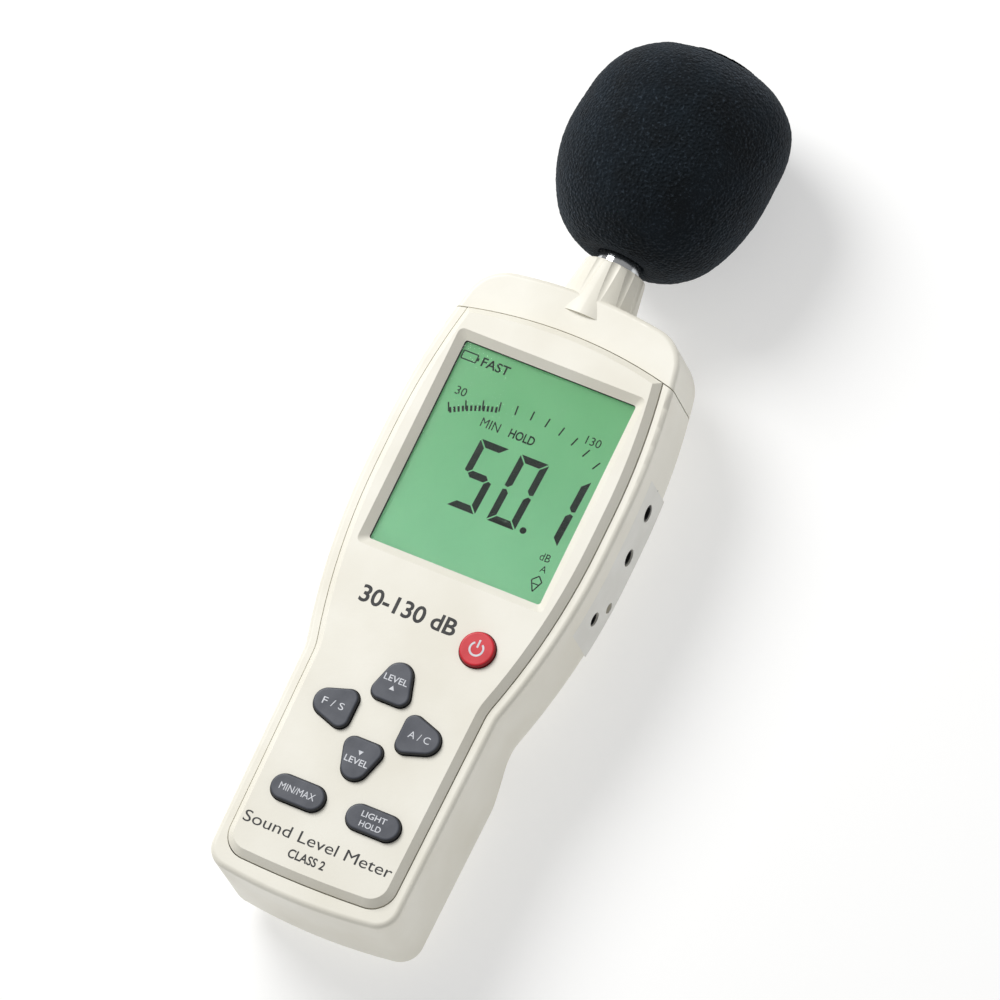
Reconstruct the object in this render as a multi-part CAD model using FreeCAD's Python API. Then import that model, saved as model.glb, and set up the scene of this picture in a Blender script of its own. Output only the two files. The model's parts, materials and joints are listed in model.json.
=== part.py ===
import FreeCAD, Part
import math
import os

from FreeCAD import Vector

# Handheld sound level meter, lying on its back.
# Millimetres.  +Z comes out of the display, +Y runs towards the microphone, +X is the user's right.
# Everything is drawn with Y counted up from the bottom end of the case; save() moves it so that
# the origin is at the middle of the footprint.

# ---- Driving dimensions -------------------------------------------------------------------------

# Case, seen from the front.
BODY_LENGTH = 185.9
HANDLE_LENGTH = 67.2
HANDLE_END_WIDTH = 57.0
WAIST_WIDTH = 58.8
HEAD_WIDTH = 74.0
HEAD_END_WIDTH = 60.6
BOTTOM_SAG = 2.4
TOP_SAG = 3.3
TOP_CORNER_RADIUS = 12.0
WAIST_RADIUS = 12.0
HEAD_PARALLEL = 10.0

# Case, seen from the side.
MIC_AXIS_Z = 29.0
CASE_DEPTH = 36.0
MIC_AXIS_ABOVE_BACK = CASE_DEPTH * 23 / 36
PLATEAU_RISE = 2.3
BACK_RADIUS = 5.0
HEAD_BACK_RADIUS = 13.0
RELIEF_FADE_RADIUS = 30.0
RIM_RADIUS = 1.5
WALL = 2.2
PEG_CLEARANCE = 0.2

# Front cover.
BORDER = 3.4
BOTTOM_BORDER = 5.4
FRONT_BOTTOM_SAG = 1.2
FRONT_CORNER_RADIUS = 7.0
PLATEAU_BEVEL = 2.0
SKIN = 1.8
SKIRT = 1.8
SKIRT_HEIGHT = 5.4
SEAM_GAP = 0.3

# Head cap and microphone neck.
CAP_LENGTH = 12.3
CAP_ARC_RADIUS = 136.0
TONGUE = 4.0
TONGUE_WALL = 1.5
TONGUE_ROOT = 6.0
TAB_HALF_WIDTH = 4.0
TAB_LENGTH = 12.0
TAB_DEPTH = 5.5
CLAMP_WALL = 1.9
NECK_LENGTH = 11.5
NECK_BASE_RADIUS = 11.2
NECK_RIM_RADIUS = 8.9
NECK_ROOT = 6.0
NECK_ROOT_FLARE = 0.6
NECK_RIM_ROUND = 0.8
FLUTES = 12
FLUTE_RADIUS = 2.2
FLUTE_DEPTH = 0.55

# Microphone and windscreen.
TUBE_RADIUS = 6.35
TUBE_WALL = 0.6
TUBE_SHOWING = 2.4
TUBE_LENGTH = 41.0
CAPSULE_LENGTH = 11.0
GRILLE_THICKNESS = 1.2
SCREEN_LENGTH = 61.8
SCREEN_RADIUS = 29.0
SCREEN_NEAR_RADIUS = 10.5
SCREEN_WIDEST_AT = 36.0
SCREEN_DOME_POWER = 2.6
SCREEN_CLEARANCE = 0.3
SLIP = 0.05

# Display.
DISPLAY_BELOW_SEAM = 42.6
VIEW_WIDTH = 52.1
VIEW_HEIGHT = 61.0
BEZEL_SLOPE = 2.4
WINDOW_THICKNESS = 0.6
WINDOW_LAP = 1.2
GASKET_THICKNESS = 0.8
LCD_THICKNESS = 1.8
LCD_WIDTH = 55.0
LCD_HEIGHT = 66.0
BACKLIGHT_THICKNESS = 2.6
HOLDER_WALL = 1.1
LCD_PLAY = 0.1
ZEBRA_WIDTH = 2.0

# Boards.
BOARD_THICKNESS = 1.6
BOARD_UNDER_FACE = 10.4
BOARD_EDGE_GAP = 0.4
BOARD_HOLE_PLAY = 0.3
MAT_HOLE_PLAY = 0.5
HOLE_PLAY = 0.1

# Keys: centres are (X, distance below the display centre), or above the bottom end for the long ones.
KEY_PROUD = 1.5
KEY_GAP = 0.3
KEY_TRAVEL = 1.0
KEY_FLANGE = 1.0
KEY_FLANGE_LAP = 0.8
KEY_TOP_RADIUS = 0.7
MAT_THICKNESS = 1.0
DOME_RADIUS = 2.6
POWER_RADIUS = 5.0
POWER_AT = (16.6, 48.75)
PILL_LENGTH = 16.0
PILL_WIDTH = 7.5
MIN_MAX_AT = (-11.3, 27.6)
LIGHT_HOLD_AT = (11.6, 27.6)
PAD_CENTRE_BELOW = 77.3
PAD_REACH_X = 13.15
PAD_REACH_Y = 11.75
PAD_TIP_RADIUS = 4.0
PAD_TIP_AT = 1.9
PAD_CORNER_RADIUS = 2.8
PAD_CORNER_X = 2.9
PAD_CORNER_Y = -3.2

# Battery bay: four AAA cells side by side.
CELL_RADIUS = 5.25
CELL_LENGTH = 43.3
CELL_NUB_RADIUS = 1.9
CELL_NUB_LENGTH = 1.2
CELL_PITCH = 10.8
CELL_COUNT = 4
SPRING_LENGTH = 4.2
SPRING_RADIUS = 2.9
SPRING_WIRE_RADIUS = 0.35
SPRING_RINGS = 3
PLATE_THICKNESS = 0.4
BAY_WALL = 1.5
BAY_START = 6.8
DOOR_THICKNESS = 2.2
DOOR_LEDGE = 1.0
DOOR_TONGUE = 1.5
DOOR_GAP = 0.3
GRIP_RIBS = 6
GRIP_PITCH = 2.4
GRIP_DEPTH = 0.5

# Side sockets: (distance above the display centre, depth below the board).
SOCKET_HOLE_RADIUS = 2.5
JACK_RADIUS = 1.8
JACK_DEPTH = 12.0
AC_OUTPUT_AT = (8.0, 6.0)
DC_OUTPUT_AT = (-5.0, 7.5)
POWER_JACK_AT = (-24.7, 5.8)
POWER_HOLE_RADIUS = 2.1
POWER_PIN_RADIUS = 0.65
TRIMMER_AT = (-19.0, 11.5)
TRIMMER_HOLE_RADIUS = 1.6
TRIMMER_ROTOR_RADIUS = 1.25
SOCKET_RECESS = 0.5
LABEL_THICKNESS = 0.3
SOCKET_LABEL_TOP = 14.9
SOCKET_LABEL_LENGTH = 48.0
SOCKET_LABEL_LOW = 9.0
SOCKET_LABEL_HIGH = 26.0

# Tripod socket, rating label and screws.
TRIPOD_UP = 82.0
TRIPOD_TAP_RADIUS = 2.55
TRIPOD_INSERT_RADIUS = 5.0
TRIPOD_INSERT_LENGTH = 9.0
TRIPOD_BOSS_WALL = 2.2
RATING_LABEL_SIZE = (44.0, 38.0)
RATING_LABEL_BELOW_SEAM = 34.0
CASE_SCREW_X_LOW = 21.0
CASE_SCREW_X_HIGH = 20.0
SCREW_RADIUS = 1.5
SCREW_HEAD_RADIUS = 2.7
SCREW_HEAD_HEIGHT = 2.0
SCREW_SINK = 1.2
SCREW_LENGTH = 20.0
BOSS_RADIUS = 3.0
BOSS_JOINT_Z = 24.0
CAP_SCREW_X = 17.0
CAP_SCREW_ABOVE_SEAM = 3.0
CAP_SCREW_SINK = 1.3
CAP_SCREW_LENGTH = 4.5
SMALL_SCREW_RADIUS = 1.0
SMALL_HEAD_RADIUS = 1.9
SMALL_HEAD_HEIGHT = 1.2
BOARD_BOSS_RADIUS = 2.2

# Microphone fittings.
SEAL_BELOW_RIM = 6.0
SEAL_WIDTH = 1.6
SEAL_DEPTH = 1.2
CLAMP_WIDTH = 3.8
CLAMP_SLOT = 1.6
LEAD_RADIUS = 0.9
LEAD_BEND = 3.5
LEAD_BELOW_AXIS = 2.0
PLUG_BELOW_SEAM = 9.0
PLUG_LENGTH = 6.0
PLUG_WIDTH = 7.0

# Jacks and trimmer.
JACK_BODY_DEPTH = 11.0
JACK_BEHIND_WALL = 1.2
OUTPUT_BODY_WIDTH = 6.8
POWER_BODY_WIDTH = 5.8
NOSE_PLAY = 0.15
TRIMMER_BEHIND_WALL = 4.0
TRIMMER_BODY = (5.0, 4.8, 6.0)
TRIMMER_LEG_PLACES = (1.2, 3.8)
TRIMMER_LEG_WIDTH = 0.6
ROTOR_SEAT_DEPTH = 2.0
ROTOR_LENGTH = 4.6
ROTOR_SLOT = 0.5

# Key feet.
DOME_HEIGHT = 0.8
FOOT_PLAY = 0.3
FOOT_INSET = 1.0

# ---- Values that follow from them ---------------------------------------------------------------

BOTTOM_CORNER_RADIUS = BORDER + SKIRT + 2 * BOARD_EDGE_GAP + 0.6
BACK_Z = MIC_AXIS_Z - MIC_AXIS_ABOVE_BACK
FACE_Z = BACK_Z + CASE_DEPTH
RIM_Z = FACE_Z - PLATEAU_RISE
SKIN_Z = FACE_Z - SKIN
FLOOR_Z = BACK_Z + WALL
SEAM_UP = BODY_LENGTH - CAP_LENGTH
DISPLAY_UP = SEAM_UP - DISPLAY_BELOW_SEAM
NECK_RIM_UP = BODY_LENGTH + NECK_LENGTH
SCREEN_UP = NECK_RIM_UP + TUBE_SHOWING
OVERALL_LENGTH = SCREEN_UP + SCREEN_LENGTH
TUBE_START_UP = BODY_LENGTH - NECK_ROOT - 4.0
BOARD_TOP_Z = FACE_Z - BOARD_UNDER_FACE
BOARD_BOTTOM_Z = BOARD_TOP_Z - BOARD_THICKNESS
MAT_TOP_Z = BOARD_TOP_Z + MAT_THICKNESS
WINDOW_Z = SKIN_Z - WINDOW_THICKNESS
LCD_TOP_Z = WINDOW_Z - GASKET_THICKNESS
LCD_BOTTOM_Z = LCD_TOP_Z - LCD_THICKNESS
BACKLIGHT_Z = LCD_BOTTOM_Z - BACKLIGHT_THICKNESS
BAY_HALF_WIDTH = CELL_COUNT * CELL_PITCH / 2
BAY_LENGTH = CELL_LENGTH + CELL_NUB_LENGTH + SPRING_LENGTH + 2 * PLATE_THICKNESS
BAY_END = BAY_START + BAY_LENGTH
DOOR_Z = BACK_Z + DOOR_THICKNESS
BAY_FLOOR_Z = DOOR_Z + DOOR_GAP
CELL_Z = BAY_FLOOR_Z + CELL_RADIUS + 0.3
BAY_ROOF_Z = CELL_Z + CELL_RADIUS + 0.3
CASE_SCREW_UP_LOW = BAY_END + BAY_WALL + BOSS_RADIUS + 2.6
CASE_SCREW_UP_HIGH = SEAM_UP - 5.0
SCREW_THREAD_Z = BACK_Z + SCREW_SINK + SCREW_HEAD_HEIGHT
HIDDEN = 1.0

Z_AXIS = Vector(0, 0, 1)
Y_AXIS = Vector(0, 1, 0)
X_AXIS = Vector(1, 0, 0)


# ---- Helpers ------------------------------------------------------------------------------------

def box(x0, x1, y0, y1, z0, z1):
    """Box between two corners."""
    return Part.makeBox(x1 - x0, y1 - y0, z1 - z0, Vector(x0, y0, z0))


def rod(radius, start, length, axis=Z_AXIS):
    """Cylinder from a start point along an axis."""
    return Part.makeCylinder(radius, length, Vector(*start), axis)


def ring(outer, inner, start, length, axis=Z_AXIS):
    """Tube from a start point along an axis."""
    back = Vector(*start) - axis * HIDDEN
    bore = Part.makeCylinder(inner, length + 2 * HIDDEN, back, axis)
    return rod(outer, start, length, axis).cut(bore)


def prism(face, z0, z1):
    """Solid of a plan drawn at Z = 0, from one height to another."""
    solid = face.extrude(Vector(0, 0, z1 - z0))
    solid.translate(Vector(0, 0, z0))
    return solid


def upright_edges(shape, points):
    """The vertical edges that stand on the given (X, Y) points."""
    found = []
    for edge in shape.Edges:
        first = edge.Vertexes[0].Point
        last = edge.Vertexes[-1].Point
        if abs(first.x - last.x) > 1e-6 or abs(first.y - last.y) > 1e-6:
            continue
        if any(math.hypot(first.x - x, first.y - y) < 0.05 for x, y in points):
            found.append(edge)
    return found


def level_edges(shape, z):
    """The edges that lie flat at one height."""
    return [e for e in shape.Edges if abs(e.BoundBox.ZMin - z) < 1e-4 and abs(e.BoundBox.ZMax - z) < 1e-4]


def round_plan(face, rounds):
    """The plan with its corners rounded; rounds is a list of (radius, corner points)."""
    block = face.extrude(Z_AXIS)
    for radius, points in rounds:
        block = block.makeFillet(radius, upright_edges(block, points))
    base = [f for f in block.Faces if f.BoundBox.ZMax < 1e-6][0]
    return Part.Face(base.OuterWire)


def inset(face, distance):
    """A smooth plan made smaller all round (or larger, when the distance is negative)."""
    edges = []
    for edge in face.OuterWire.Edges:
        if edge.isClosed():
            return Part.Face(Part.Wire(Part.makeCircle(edge.Curve.Radius - distance, edge.Curve.Center)))
        first, last = edge.ParameterRange
        shifted = []
        for at in (first, (first + last) / 2, last):
            point = edge.valueAt(at)
            tangent = edge.tangentAt(at)
            inward = Vector(-tangent.y, tangent.x, 0)
            middle = edge.valueAt((first + last) / 2)
            middle_tangent = edge.tangentAt((first + last) / 2)
            probe = middle + Vector(-middle_tangent.y, middle_tangent.x, 0) * 0.01
            if not face.isInside(probe, 1e-6, True):
                inward = inward * -1
            shifted.append(point + inward * distance)
        if edge.Curve.TypeId == "Part::GeomLine":
            edges.append(Part.makeLine(shifted[0], shifted[2]))
        else:
            edges.append(Part.Arc(*shifted).toShape())
    return Part.Face(Part.Wire(Part.__sortEdges__(edges)))


def rounded_rectangle(x0, x1, y0, y1, radius, z=0.0):
    """Rectangle with rounded corners, as a wire at one height."""
    corners = [(x1 - radius, y1 - radius, 0), (x0 + radius, y1 - radius, 90),
               (x0 + radius, y0 + radius, 180), (x1 - radius, y0 + radius, 270)]
    edges = []
    for x, y, start in corners:
        arc_points = []
        for angle in (start, start + 45, start + 90):
            turn = math.radians(angle)
            arc_points.append(Vector(x + radius * math.cos(turn), y + radius * math.sin(turn), z))
        if edges:
            edges.append(Part.makeLine(edges[-1].Vertexes[-1].Point, arc_points[0]))
        edges.append(Part.Arc(*arc_points).toShape())
    edges.append(Part.makeLine(edges[-1].Vertexes[-1].Point, edges[0].Vertexes[0].Point))
    return Part.Wire(edges)


def hull(circles):
    """Plan of the tight band round some circles (x, y, radius), listed anticlockwise."""
    spans = []
    for (x0, y0, r0), (x1, y1, r1) in zip(circles, circles[1:] + circles[:1]):
        heading = math.atan2(y1 - y0, x1 - x0)
        lean = math.asin((r0 - r1) / math.hypot(x1 - x0, y1 - y0))
        spans.append(heading - math.pi / 2 + lean)
    edges = []
    for i, (x, y, r) in enumerate(circles):
        start = spans[i - 1]
        end = spans[i]
        while end < start:
            end += 2 * math.pi
        arc_points = []
        for turn in (start, (start + end) / 2, end):
            arc_points.append(Vector(x + r * math.cos(turn), y + r * math.sin(turn), 0))
        if edges:
            edges.append(Part.makeLine(edges[-1].Vertexes[-1].Point, arc_points[0]))
        edges.append(Part.Arc(*arc_points).toShape())
    edges.append(Part.makeLine(edges[-1].Vertexes[-1].Point, edges[0].Vertexes[0].Point))
    return Part.Face(Part.Wire(edges))


def moved(shape, x, y, z=0.0, turn=0.0):
    """Copy of a shape turned about Z through the origin, then moved."""
    copy = shape.copy()
    copy.rotate(Vector(0, 0, 0), Z_AXIS, turn)
    copy.translate(Vector(x, y, z))
    return copy


def mirrored(shape):
    """The same shape on the other side of the centre plane."""
    return shape.mirror(Vector(0, 0, 0), X_AXIS)


# ---- Plans --------------------------------------------------------------------------------------

def flank_radius(dx, dy):
    """Radius of an arc that runs straight up the case at its wide end and falls dx over dy."""
    return (dx * dx + dy * dy) / (2 * dx)


def arc_about(centre, radius, start, end):
    """Arc of a known circle between two of its points, the short way round."""
    middle = (Vector(*start, 0) + Vector(*end, 0)) * 0.5 - Vector(*centre, 0)
    middle.normalize()
    return Part.Arc(Vector(*start, 0), Vector(*centre, 0) + middle * radius, Vector(*end, 0)).toShape()


def corner_circle(centre_a, radius_a, centre_b, radius_b, radius):
    """Centre of the circle that rounds the upper right corner inside two larger circles."""
    span = Vector(*centre_b, 0) - Vector(*centre_a, 0)
    reach_a = radius_a - radius
    reach_b = radius_b - radius
    along = (reach_a ** 2 - reach_b ** 2 + span.Length ** 2) / (2 * span.Length)
    across = math.sqrt(reach_a ** 2 - along ** 2)
    ahead = span.normalize()
    point = Vector(*centre_a, 0) + ahead * along + Vector(-ahead.y, ahead.x, 0) * across
    other = Vector(*centre_a, 0) + ahead * along - Vector(-ahead.y, ahead.x, 0) * across
    best = max((point, other), key=lambda p: p.x + p.y)
    return (best.x, best.y)


def on_circle(centre, radius, through):
    """The point of a circle on the ray from its centre through another point."""
    ray = Vector(*through, 0) - Vector(*centre, 0)
    ray.normalize()
    return (centre[0] + ray.x * radius, centre[1] + ray.y * radius)


def case_plan():
    """Outline of the case from the front: narrow handle, waist, wide head."""
    low = (HANDLE_END_WIDTH / 2, BOTTOM_SAG)
    waist = (WAIST_WIDTH / 2, HANDLE_LENGTH)
    wide_low = (HEAD_WIDTH / 2, DISPLAY_UP - HEAD_PARALLEL)
    wide_high = (HEAD_WIDTH / 2, DISPLAY_UP)

    low_radius = flank_radius(wide_low[0] - waist[0], wide_low[1] - waist[1])
    low_centre = (wide_low[0] - low_radius, wide_low[1])
    high_centre, high_radius, top_centre, top_radius, corner = case_circles()
    corner_low = on_circle(high_centre, high_radius, corner)
    corner_high = on_circle(top_centre, top_radius, corner)

    edges = [
        Part.makeLine(Vector(*low, 0), Vector(*waist, 0)),
        arc_about(low_centre, low_radius, waist, wide_low),
        Part.makeLine(Vector(*wide_low, 0), Vector(*wide_high, 0)),
        arc_about(high_centre, high_radius, wide_high, corner_low),
        arc_about(corner, TOP_CORNER_RADIUS, corner_low, corner_high),
    ]
    edges += [mirrored(edge) for edge in edges]
    edges.append(Part.Arc(Vector(-low[0], low[1], 0), Vector(0, 0, 0), Vector(*low, 0)).toShape())
    edges.append(Part.Arc(Vector(-corner_high[0], corner_high[1], 0), Vector(0, BODY_LENGTH, 0),
                          Vector(*corner_high, 0)).toShape())
    face = Part.Face(Part.Wire(Part.__sortEdges__(edges)))
    return round_plan(face, [
        (BOTTOM_CORNER_RADIUS, [(side * low[0], low[1]) for side in (1, -1)]),
        (WAIST_RADIUS, [(side * waist[0], waist[1]) for side in (1, -1)]),
    ])


def seam_disc(grow, z0, z1):
    """Everything below the arched seam of the head cap, as a disc of the seam's radius."""
    return rod(CAP_ARC_RADIUS + grow, (0, SEAM_UP - CAP_ARC_RADIUS, z0), z1 - z0)


def front_plan(case, inside=0.0):
    """Plan of the front cover, or of a line inside it: the case less its border, up to the cap's seam."""
    sheet = prism(inset(case, BORDER + inside), 0, 1)
    sheet = sheet.common(seam_disc(-SEAM_GAP / 2 - inside, -1, 2))
    side = HANDLE_END_WIDTH / 2
    low = BOTTOM_BORDER + inside
    corners = [Vector(side, low + FRONT_BOTTOM_SAG, 0), Vector(side, -side, 0), Vector(-side, -side, 0),
               Vector(-side, low + FRONT_BOTTOM_SAG, 0)]
    arc = Part.Arc(corners[3], Vector(0, low, 0), corners[0]).toShape()
    cutter = Part.Wire([arc] + [Part.makeLine(a, b) for a, b in zip(corners, corners[1:])])
    sheet = sheet.cut(prism(Part.Face(cutter), -1, 2))
    feet = [(e.Vertexes[0].Point.x, e.Vertexes[0].Point.y) for e in sheet.Edges if e.BoundBox.ZLength > 0.5]
    low_corners = sorted(feet, key=lambda p: p[1])[:2]
    sheet = sheet.makeFillet(FRONT_CORNER_RADIUS - inside, upright_edges(sheet, low_corners))
    base = [f for f in sheet.Faces if f.BoundBox.ZMax < 1e-6][0]
    return Part.Face(base.OuterWire)


def case_circles():
    """Centres and radii of the arcs that the upper half of the outline is made of."""
    top = (HEAD_END_WIDTH / 2, BODY_LENGTH - TOP_SAG)
    high_radius = flank_radius(HEAD_WIDTH / 2 - top[0], top[1] - DISPLAY_UP)
    high_centre = (HEAD_WIDTH / 2 - high_radius, DISPLAY_UP)
    top_radius = (top[0] ** 2 + TOP_SAG ** 2) / (2 * TOP_SAG)
    top_centre = (0.0, BODY_LENGTH - top_radius)
    corner = corner_circle(high_centre, high_radius, top_centre, top_radius, TOP_CORNER_RADIUS)
    return high_centre, high_radius, top_centre, top_radius, corner


def waist_circle():
    """Centre of the arc that rounds the waist, outside the right-hand wall, and its two normals."""
    low = Vector(HANDLE_END_WIDTH / 2, BOTTOM_SAG, 0)
    waist = Vector(WAIST_WIDTH / 2, HANDLE_LENGTH, 0)
    wide = Vector(HEAD_WIDTH / 2, DISPLAY_UP - HEAD_PARALLEL, 0)
    radius = flank_radius(wide.x - waist.x, wide.y - waist.y)
    hub = Vector(wide.x - radius, wide.y, 0)
    along = (waist - low).normalize()
    outward = Vector(along.y, -along.x, 0)
    start = low + outward * WAIST_RADIUS - hub
    lead = start.dot(along)
    reach = -lead - math.sqrt(lead ** 2 - start.Length ** 2 + (radius + WAIST_RADIUS) ** 2)
    centre = hub + start + along * reach
    line_angle = math.degrees(math.atan2(outward.y, outward.x))
    flank_angle = math.degrees(math.atan2(centre.y - hub.y, centre.x - hub.x))
    return (hub.x, hub.y), radius, (centre.x, centre.y), line_angle, flank_angle


def relief_section(inside):
    """Waste at the edge of the back, in the X-Z plane, with the wall of the case at X = 0."""
    radius = HEAD_BACK_RADIUS - inside
    low_z = BACK_Z + inside
    hub_x = -HEAD_BACK_RADIUS
    hub_z = low_z + radius
    diagonal = radius * math.sqrt(0.5)
    spare = 2.0
    arc = Part.Arc(Vector(hub_x, 0, low_z), Vector(hub_x + diagonal, 0, hub_z - diagonal),
                   Vector(hub_x + radius, 0, hub_z)).toShape()
    ends = [Vector(hub_x + radius, 0, hub_z), Vector(spare, 0, hub_z), Vector(spare, 0, BACK_Z - spare),
            Vector(hub_x, 0, BACK_Z - spare), Vector(hub_x, 0, low_z)]
    return Part.Face(Part.Wire([arc] + [Part.makeLine(a, b) for a, b in zip(ends, ends[1:])]))


def relief(inside):
    """What the rounder back of the head takes off the case, or off a surface that lies inside it."""
    section = relief_section(inside)

    def swept(centre, wall_at, start, turn):
        """Waste turned about an upright axis; wall_at is the wall's X seen from the axis."""
        face = section.copy()
        face.translate(Vector(wall_at, 0, 0))
        if 0 < wall_at < HEAD_BACK_RADIUS:
            face = face.common(Part.makeBox(HEAD_WIDTH, 1, FACE_Z, Vector(0, -0.5, 0))).Faces[0]
        solid = face.revolve(Vector(0, 0, 0), Z_AXIS, turn)
        return moved(solid, centre[0], centre[1], turn=start)

    high_centre, high_radius, top_centre, top_radius, corner = case_circles()
    low_centre, low_radius, waist_centre, line_angle, flank_angle = waist_circle()
    side = math.degrees(math.atan2(corner[1] - high_centre[1], corner[0] - high_centre[0]))
    top = math.degrees(math.atan2(corner[1] - top_centre[1], corner[0] - top_centre[0]))

    # The extra rounding runs out below the waist, along an arc that leaves the wall outwards.
    line_turn = math.radians(line_angle)
    past_waist = RELIEF_FADE_RADIUS - WAIST_RADIUS
    fade_centre = (waist_centre[0] + past_waist * math.cos(line_turn),
                   waist_centre[1] + past_waist * math.sin(line_turn))
    fade = math.degrees(math.acos(1 - (HEAD_BACK_RADIUS - BACK_RADIUS) / RELIEF_FADE_RADIUS))
    straight = section.extrude(Vector(0, HEAD_PARALLEL, 0))
    straight.translate(Vector(HEAD_WIDTH / 2, DISPLAY_UP - HEAD_PARALLEL, 0))
    half = [
        swept(fade_centre, -RELIEF_FADE_RADIUS, line_angle, fade),
        swept(waist_centre, -WAIST_RADIUS, flank_angle, line_angle - flank_angle),
        swept(low_centre, low_radius, flank_angle, -flank_angle),
        straight,
        swept(high_centre, high_radius, 0.0, side),
        swept(corner, TOP_CORNER_RADIUS, side, top - side),
    ]
    across = swept(top_centre, top_radius, top, 180 - 2 * top)
    return half + [mirrored(piece) for piece in half] + [across]


def case_block(case):
    """The case as one solid lump up to its rim, with its back and rim edges rounded."""
    block = prism(case, BACK_Z, RIM_Z)
    block = block.makeFillet(BACK_RADIUS, level_edges(block, BACK_Z))
    block = block.makeFillet(RIM_RADIUS, level_edges(block, RIM_Z))
    return block.cut(relief(0.0))


def case_cavity(case):
    """The space inside the walls of the case."""
    cavity = prism(inset(case, WALL), FLOOR_Z, RIM_Z - WALL)
    cavity = cavity.makeFillet(BACK_RADIUS - WALL, level_edges(cavity, FLOOR_Z))
    return cavity.cut(relief(WALL))


# ---- Places shared by several pieces ------------------------------------------------------------

def case_screw_places():
    """Centres of the four screws that hold the covers together."""
    return [(side * x, y) for x, y in ((CASE_SCREW_X_LOW, CASE_SCREW_UP_LOW),
                                       (CASE_SCREW_X_HIGH, CASE_SCREW_UP_HIGH)) for side in (1, -1)]


def cap_screw_places():
    """Centres of the two screws that hold the head cap."""
    return [(side * CAP_SCREW_X, SEAM_UP + CAP_SCREW_ABOVE_SEAM) for side in (1, -1)]


def board_screw_places():
    """Centres of the four screws that hold the main board to the front cover."""
    low = (HANDLE_END_WIDTH / 2 - BORDER - SKIRT - BOARD_BOSS_RADIUS - 0.8, BOTTOM_BORDER + 9.0)
    high = (HEAD_WIDTH / 2 - BORDER - SKIRT - BOARD_BOSS_RADIUS - 7.5, DISPLAY_UP - LCD_HEIGHT / 2 - 7.0)
    return [(side * x, y) for x, y in (low, high) for side in (1, -1)]


def pad_plan():
    """Plan of one key of the cross: a rounded triangle whose narrow end points to +Y."""
    return hull([(-PAD_CORNER_X, PAD_CORNER_Y, PAD_CORNER_RADIUS),
                 (PAD_CORNER_X, PAD_CORNER_Y, PAD_CORNER_RADIUS),
                 (0.0, PAD_TIP_AT, PAD_TIP_RADIUS)])


def pill_plan():
    """Plan of a long key with round ends."""
    reach = (PILL_LENGTH - PILL_WIDTH) / 2
    return hull([(-reach, 0.0, PILL_WIDTH / 2), (reach, 0.0, PILL_WIDTH / 2)])


def round_key_plan():
    """Plan of the round power key."""
    return Part.Face(Part.Wire(Part.makeCircle(POWER_RADIUS)))


def key_plans():
    """Name of each key with its plan in place."""
    pad = pad_plan()
    pill = pill_plan()
    pad_y = DISPLAY_UP - PAD_CENTRE_BELOW
    return {
        "key_power": moved(round_key_plan(), POWER_AT[0], DISPLAY_UP - POWER_AT[1]),
        "key_level_up": moved(pad, 0, pad_y + PAD_REACH_Y),
        "key_level_down": moved(pad, 0, pad_y - PAD_REACH_Y, turn=180),
        "key_fast_slow": moved(pad, -PAD_REACH_X, pad_y, turn=90),
        "key_weighting": moved(pad, PAD_REACH_X, pad_y, turn=-90),
        "key_min_max": moved(pill, *MIN_MAX_AT),
        "key_light_hold": moved(pill, *LIGHT_HOLD_AT),
    }


def socket_holes():
    """Centre (Y, Z) and radius of each hole in the right-hand wall."""
    holes = {}
    for name, place, radius in (("ac_output_socket", AC_OUTPUT_AT, SOCKET_HOLE_RADIUS),
                                ("dc_output_socket", DC_OUTPUT_AT, SOCKET_HOLE_RADIUS),
                                ("power_jack", POWER_JACK_AT, POWER_HOLE_RADIUS),
                                ("cal_trimmer", TRIMMER_AT, TRIMMER_HOLE_RADIUS)):
        holes[name] = (DISPLAY_UP + place[0], BOARD_BOTTOM_Z - place[1], radius)
    return holes


def wall_x(y):
    """X of the outside of the right-hand wall of the head at one Y."""
    if y >= DISPLAY_UP - HEAD_PARALLEL:
        return HEAD_WIDTH / 2
    dx = (HEAD_WIDTH - WAIST_WIDTH) / 2
    dy = DISPLAY_UP - HEAD_PARALLEL - HANDLE_LENGTH
    radius = (dx * dx + dy * dy) / (2 * dx)
    drop = DISPLAY_UP - HEAD_PARALLEL - y
    return HEAD_WIDTH / 2 - radius + math.sqrt(radius * radius - drop * drop)


def socket_label_patch(case):
    """The shallow patch of the right-hand wall that the socket label fills."""
    skin = prism(case, BACK_Z + SOCKET_LABEL_LOW, BACK_Z + SOCKET_LABEL_HIGH)
    skin = skin.cut(prism(inset(case, LABEL_THICKNESS), BACK_Z, FACE_Z))
    top = DISPLAY_UP + SOCKET_LABEL_TOP
    return skin.common(box(0, HEAD_WIDTH, top - SOCKET_LABEL_LENGTH, top, BACK_Z, FACE_Z))


def rating_label_patch():
    """The shallow patch of the back that the rating label fills."""
    width, height = RATING_LABEL_SIZE
    middle = SEAM_UP - RATING_LABEL_BELOW_SEAM
    wire = rounded_rectangle(-width / 2, width / 2, middle - height / 2, middle + height / 2, 2.0)
    return prism(Part.Face(wire), BACK_Z, BACK_Z + LABEL_THICKNESS)


def door_profile(gap):
    """The battery door's section run along Y: a plate with a tongue on each side."""
    half = BAY_HALF_WIDTH + 0.5 + gap
    start = -HIDDEN - 10 * gap
    end = BAY_END + BAY_WALL + gap
    plate = box(-half, half, start, end, BACK_Z - HIDDEN * (gap > 0), DOOR_Z + gap)
    tongue = box(-half - DOOR_TONGUE, half + DOOR_TONGUE, start, end, BACK_Z + DOOR_LEDGE + DOOR_GAP - gap,
                 DOOR_Z + gap)
    return plate.fuse(tongue).removeSplitter()


# ---- Case ---------------------------------------------------------------------------------------

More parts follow.
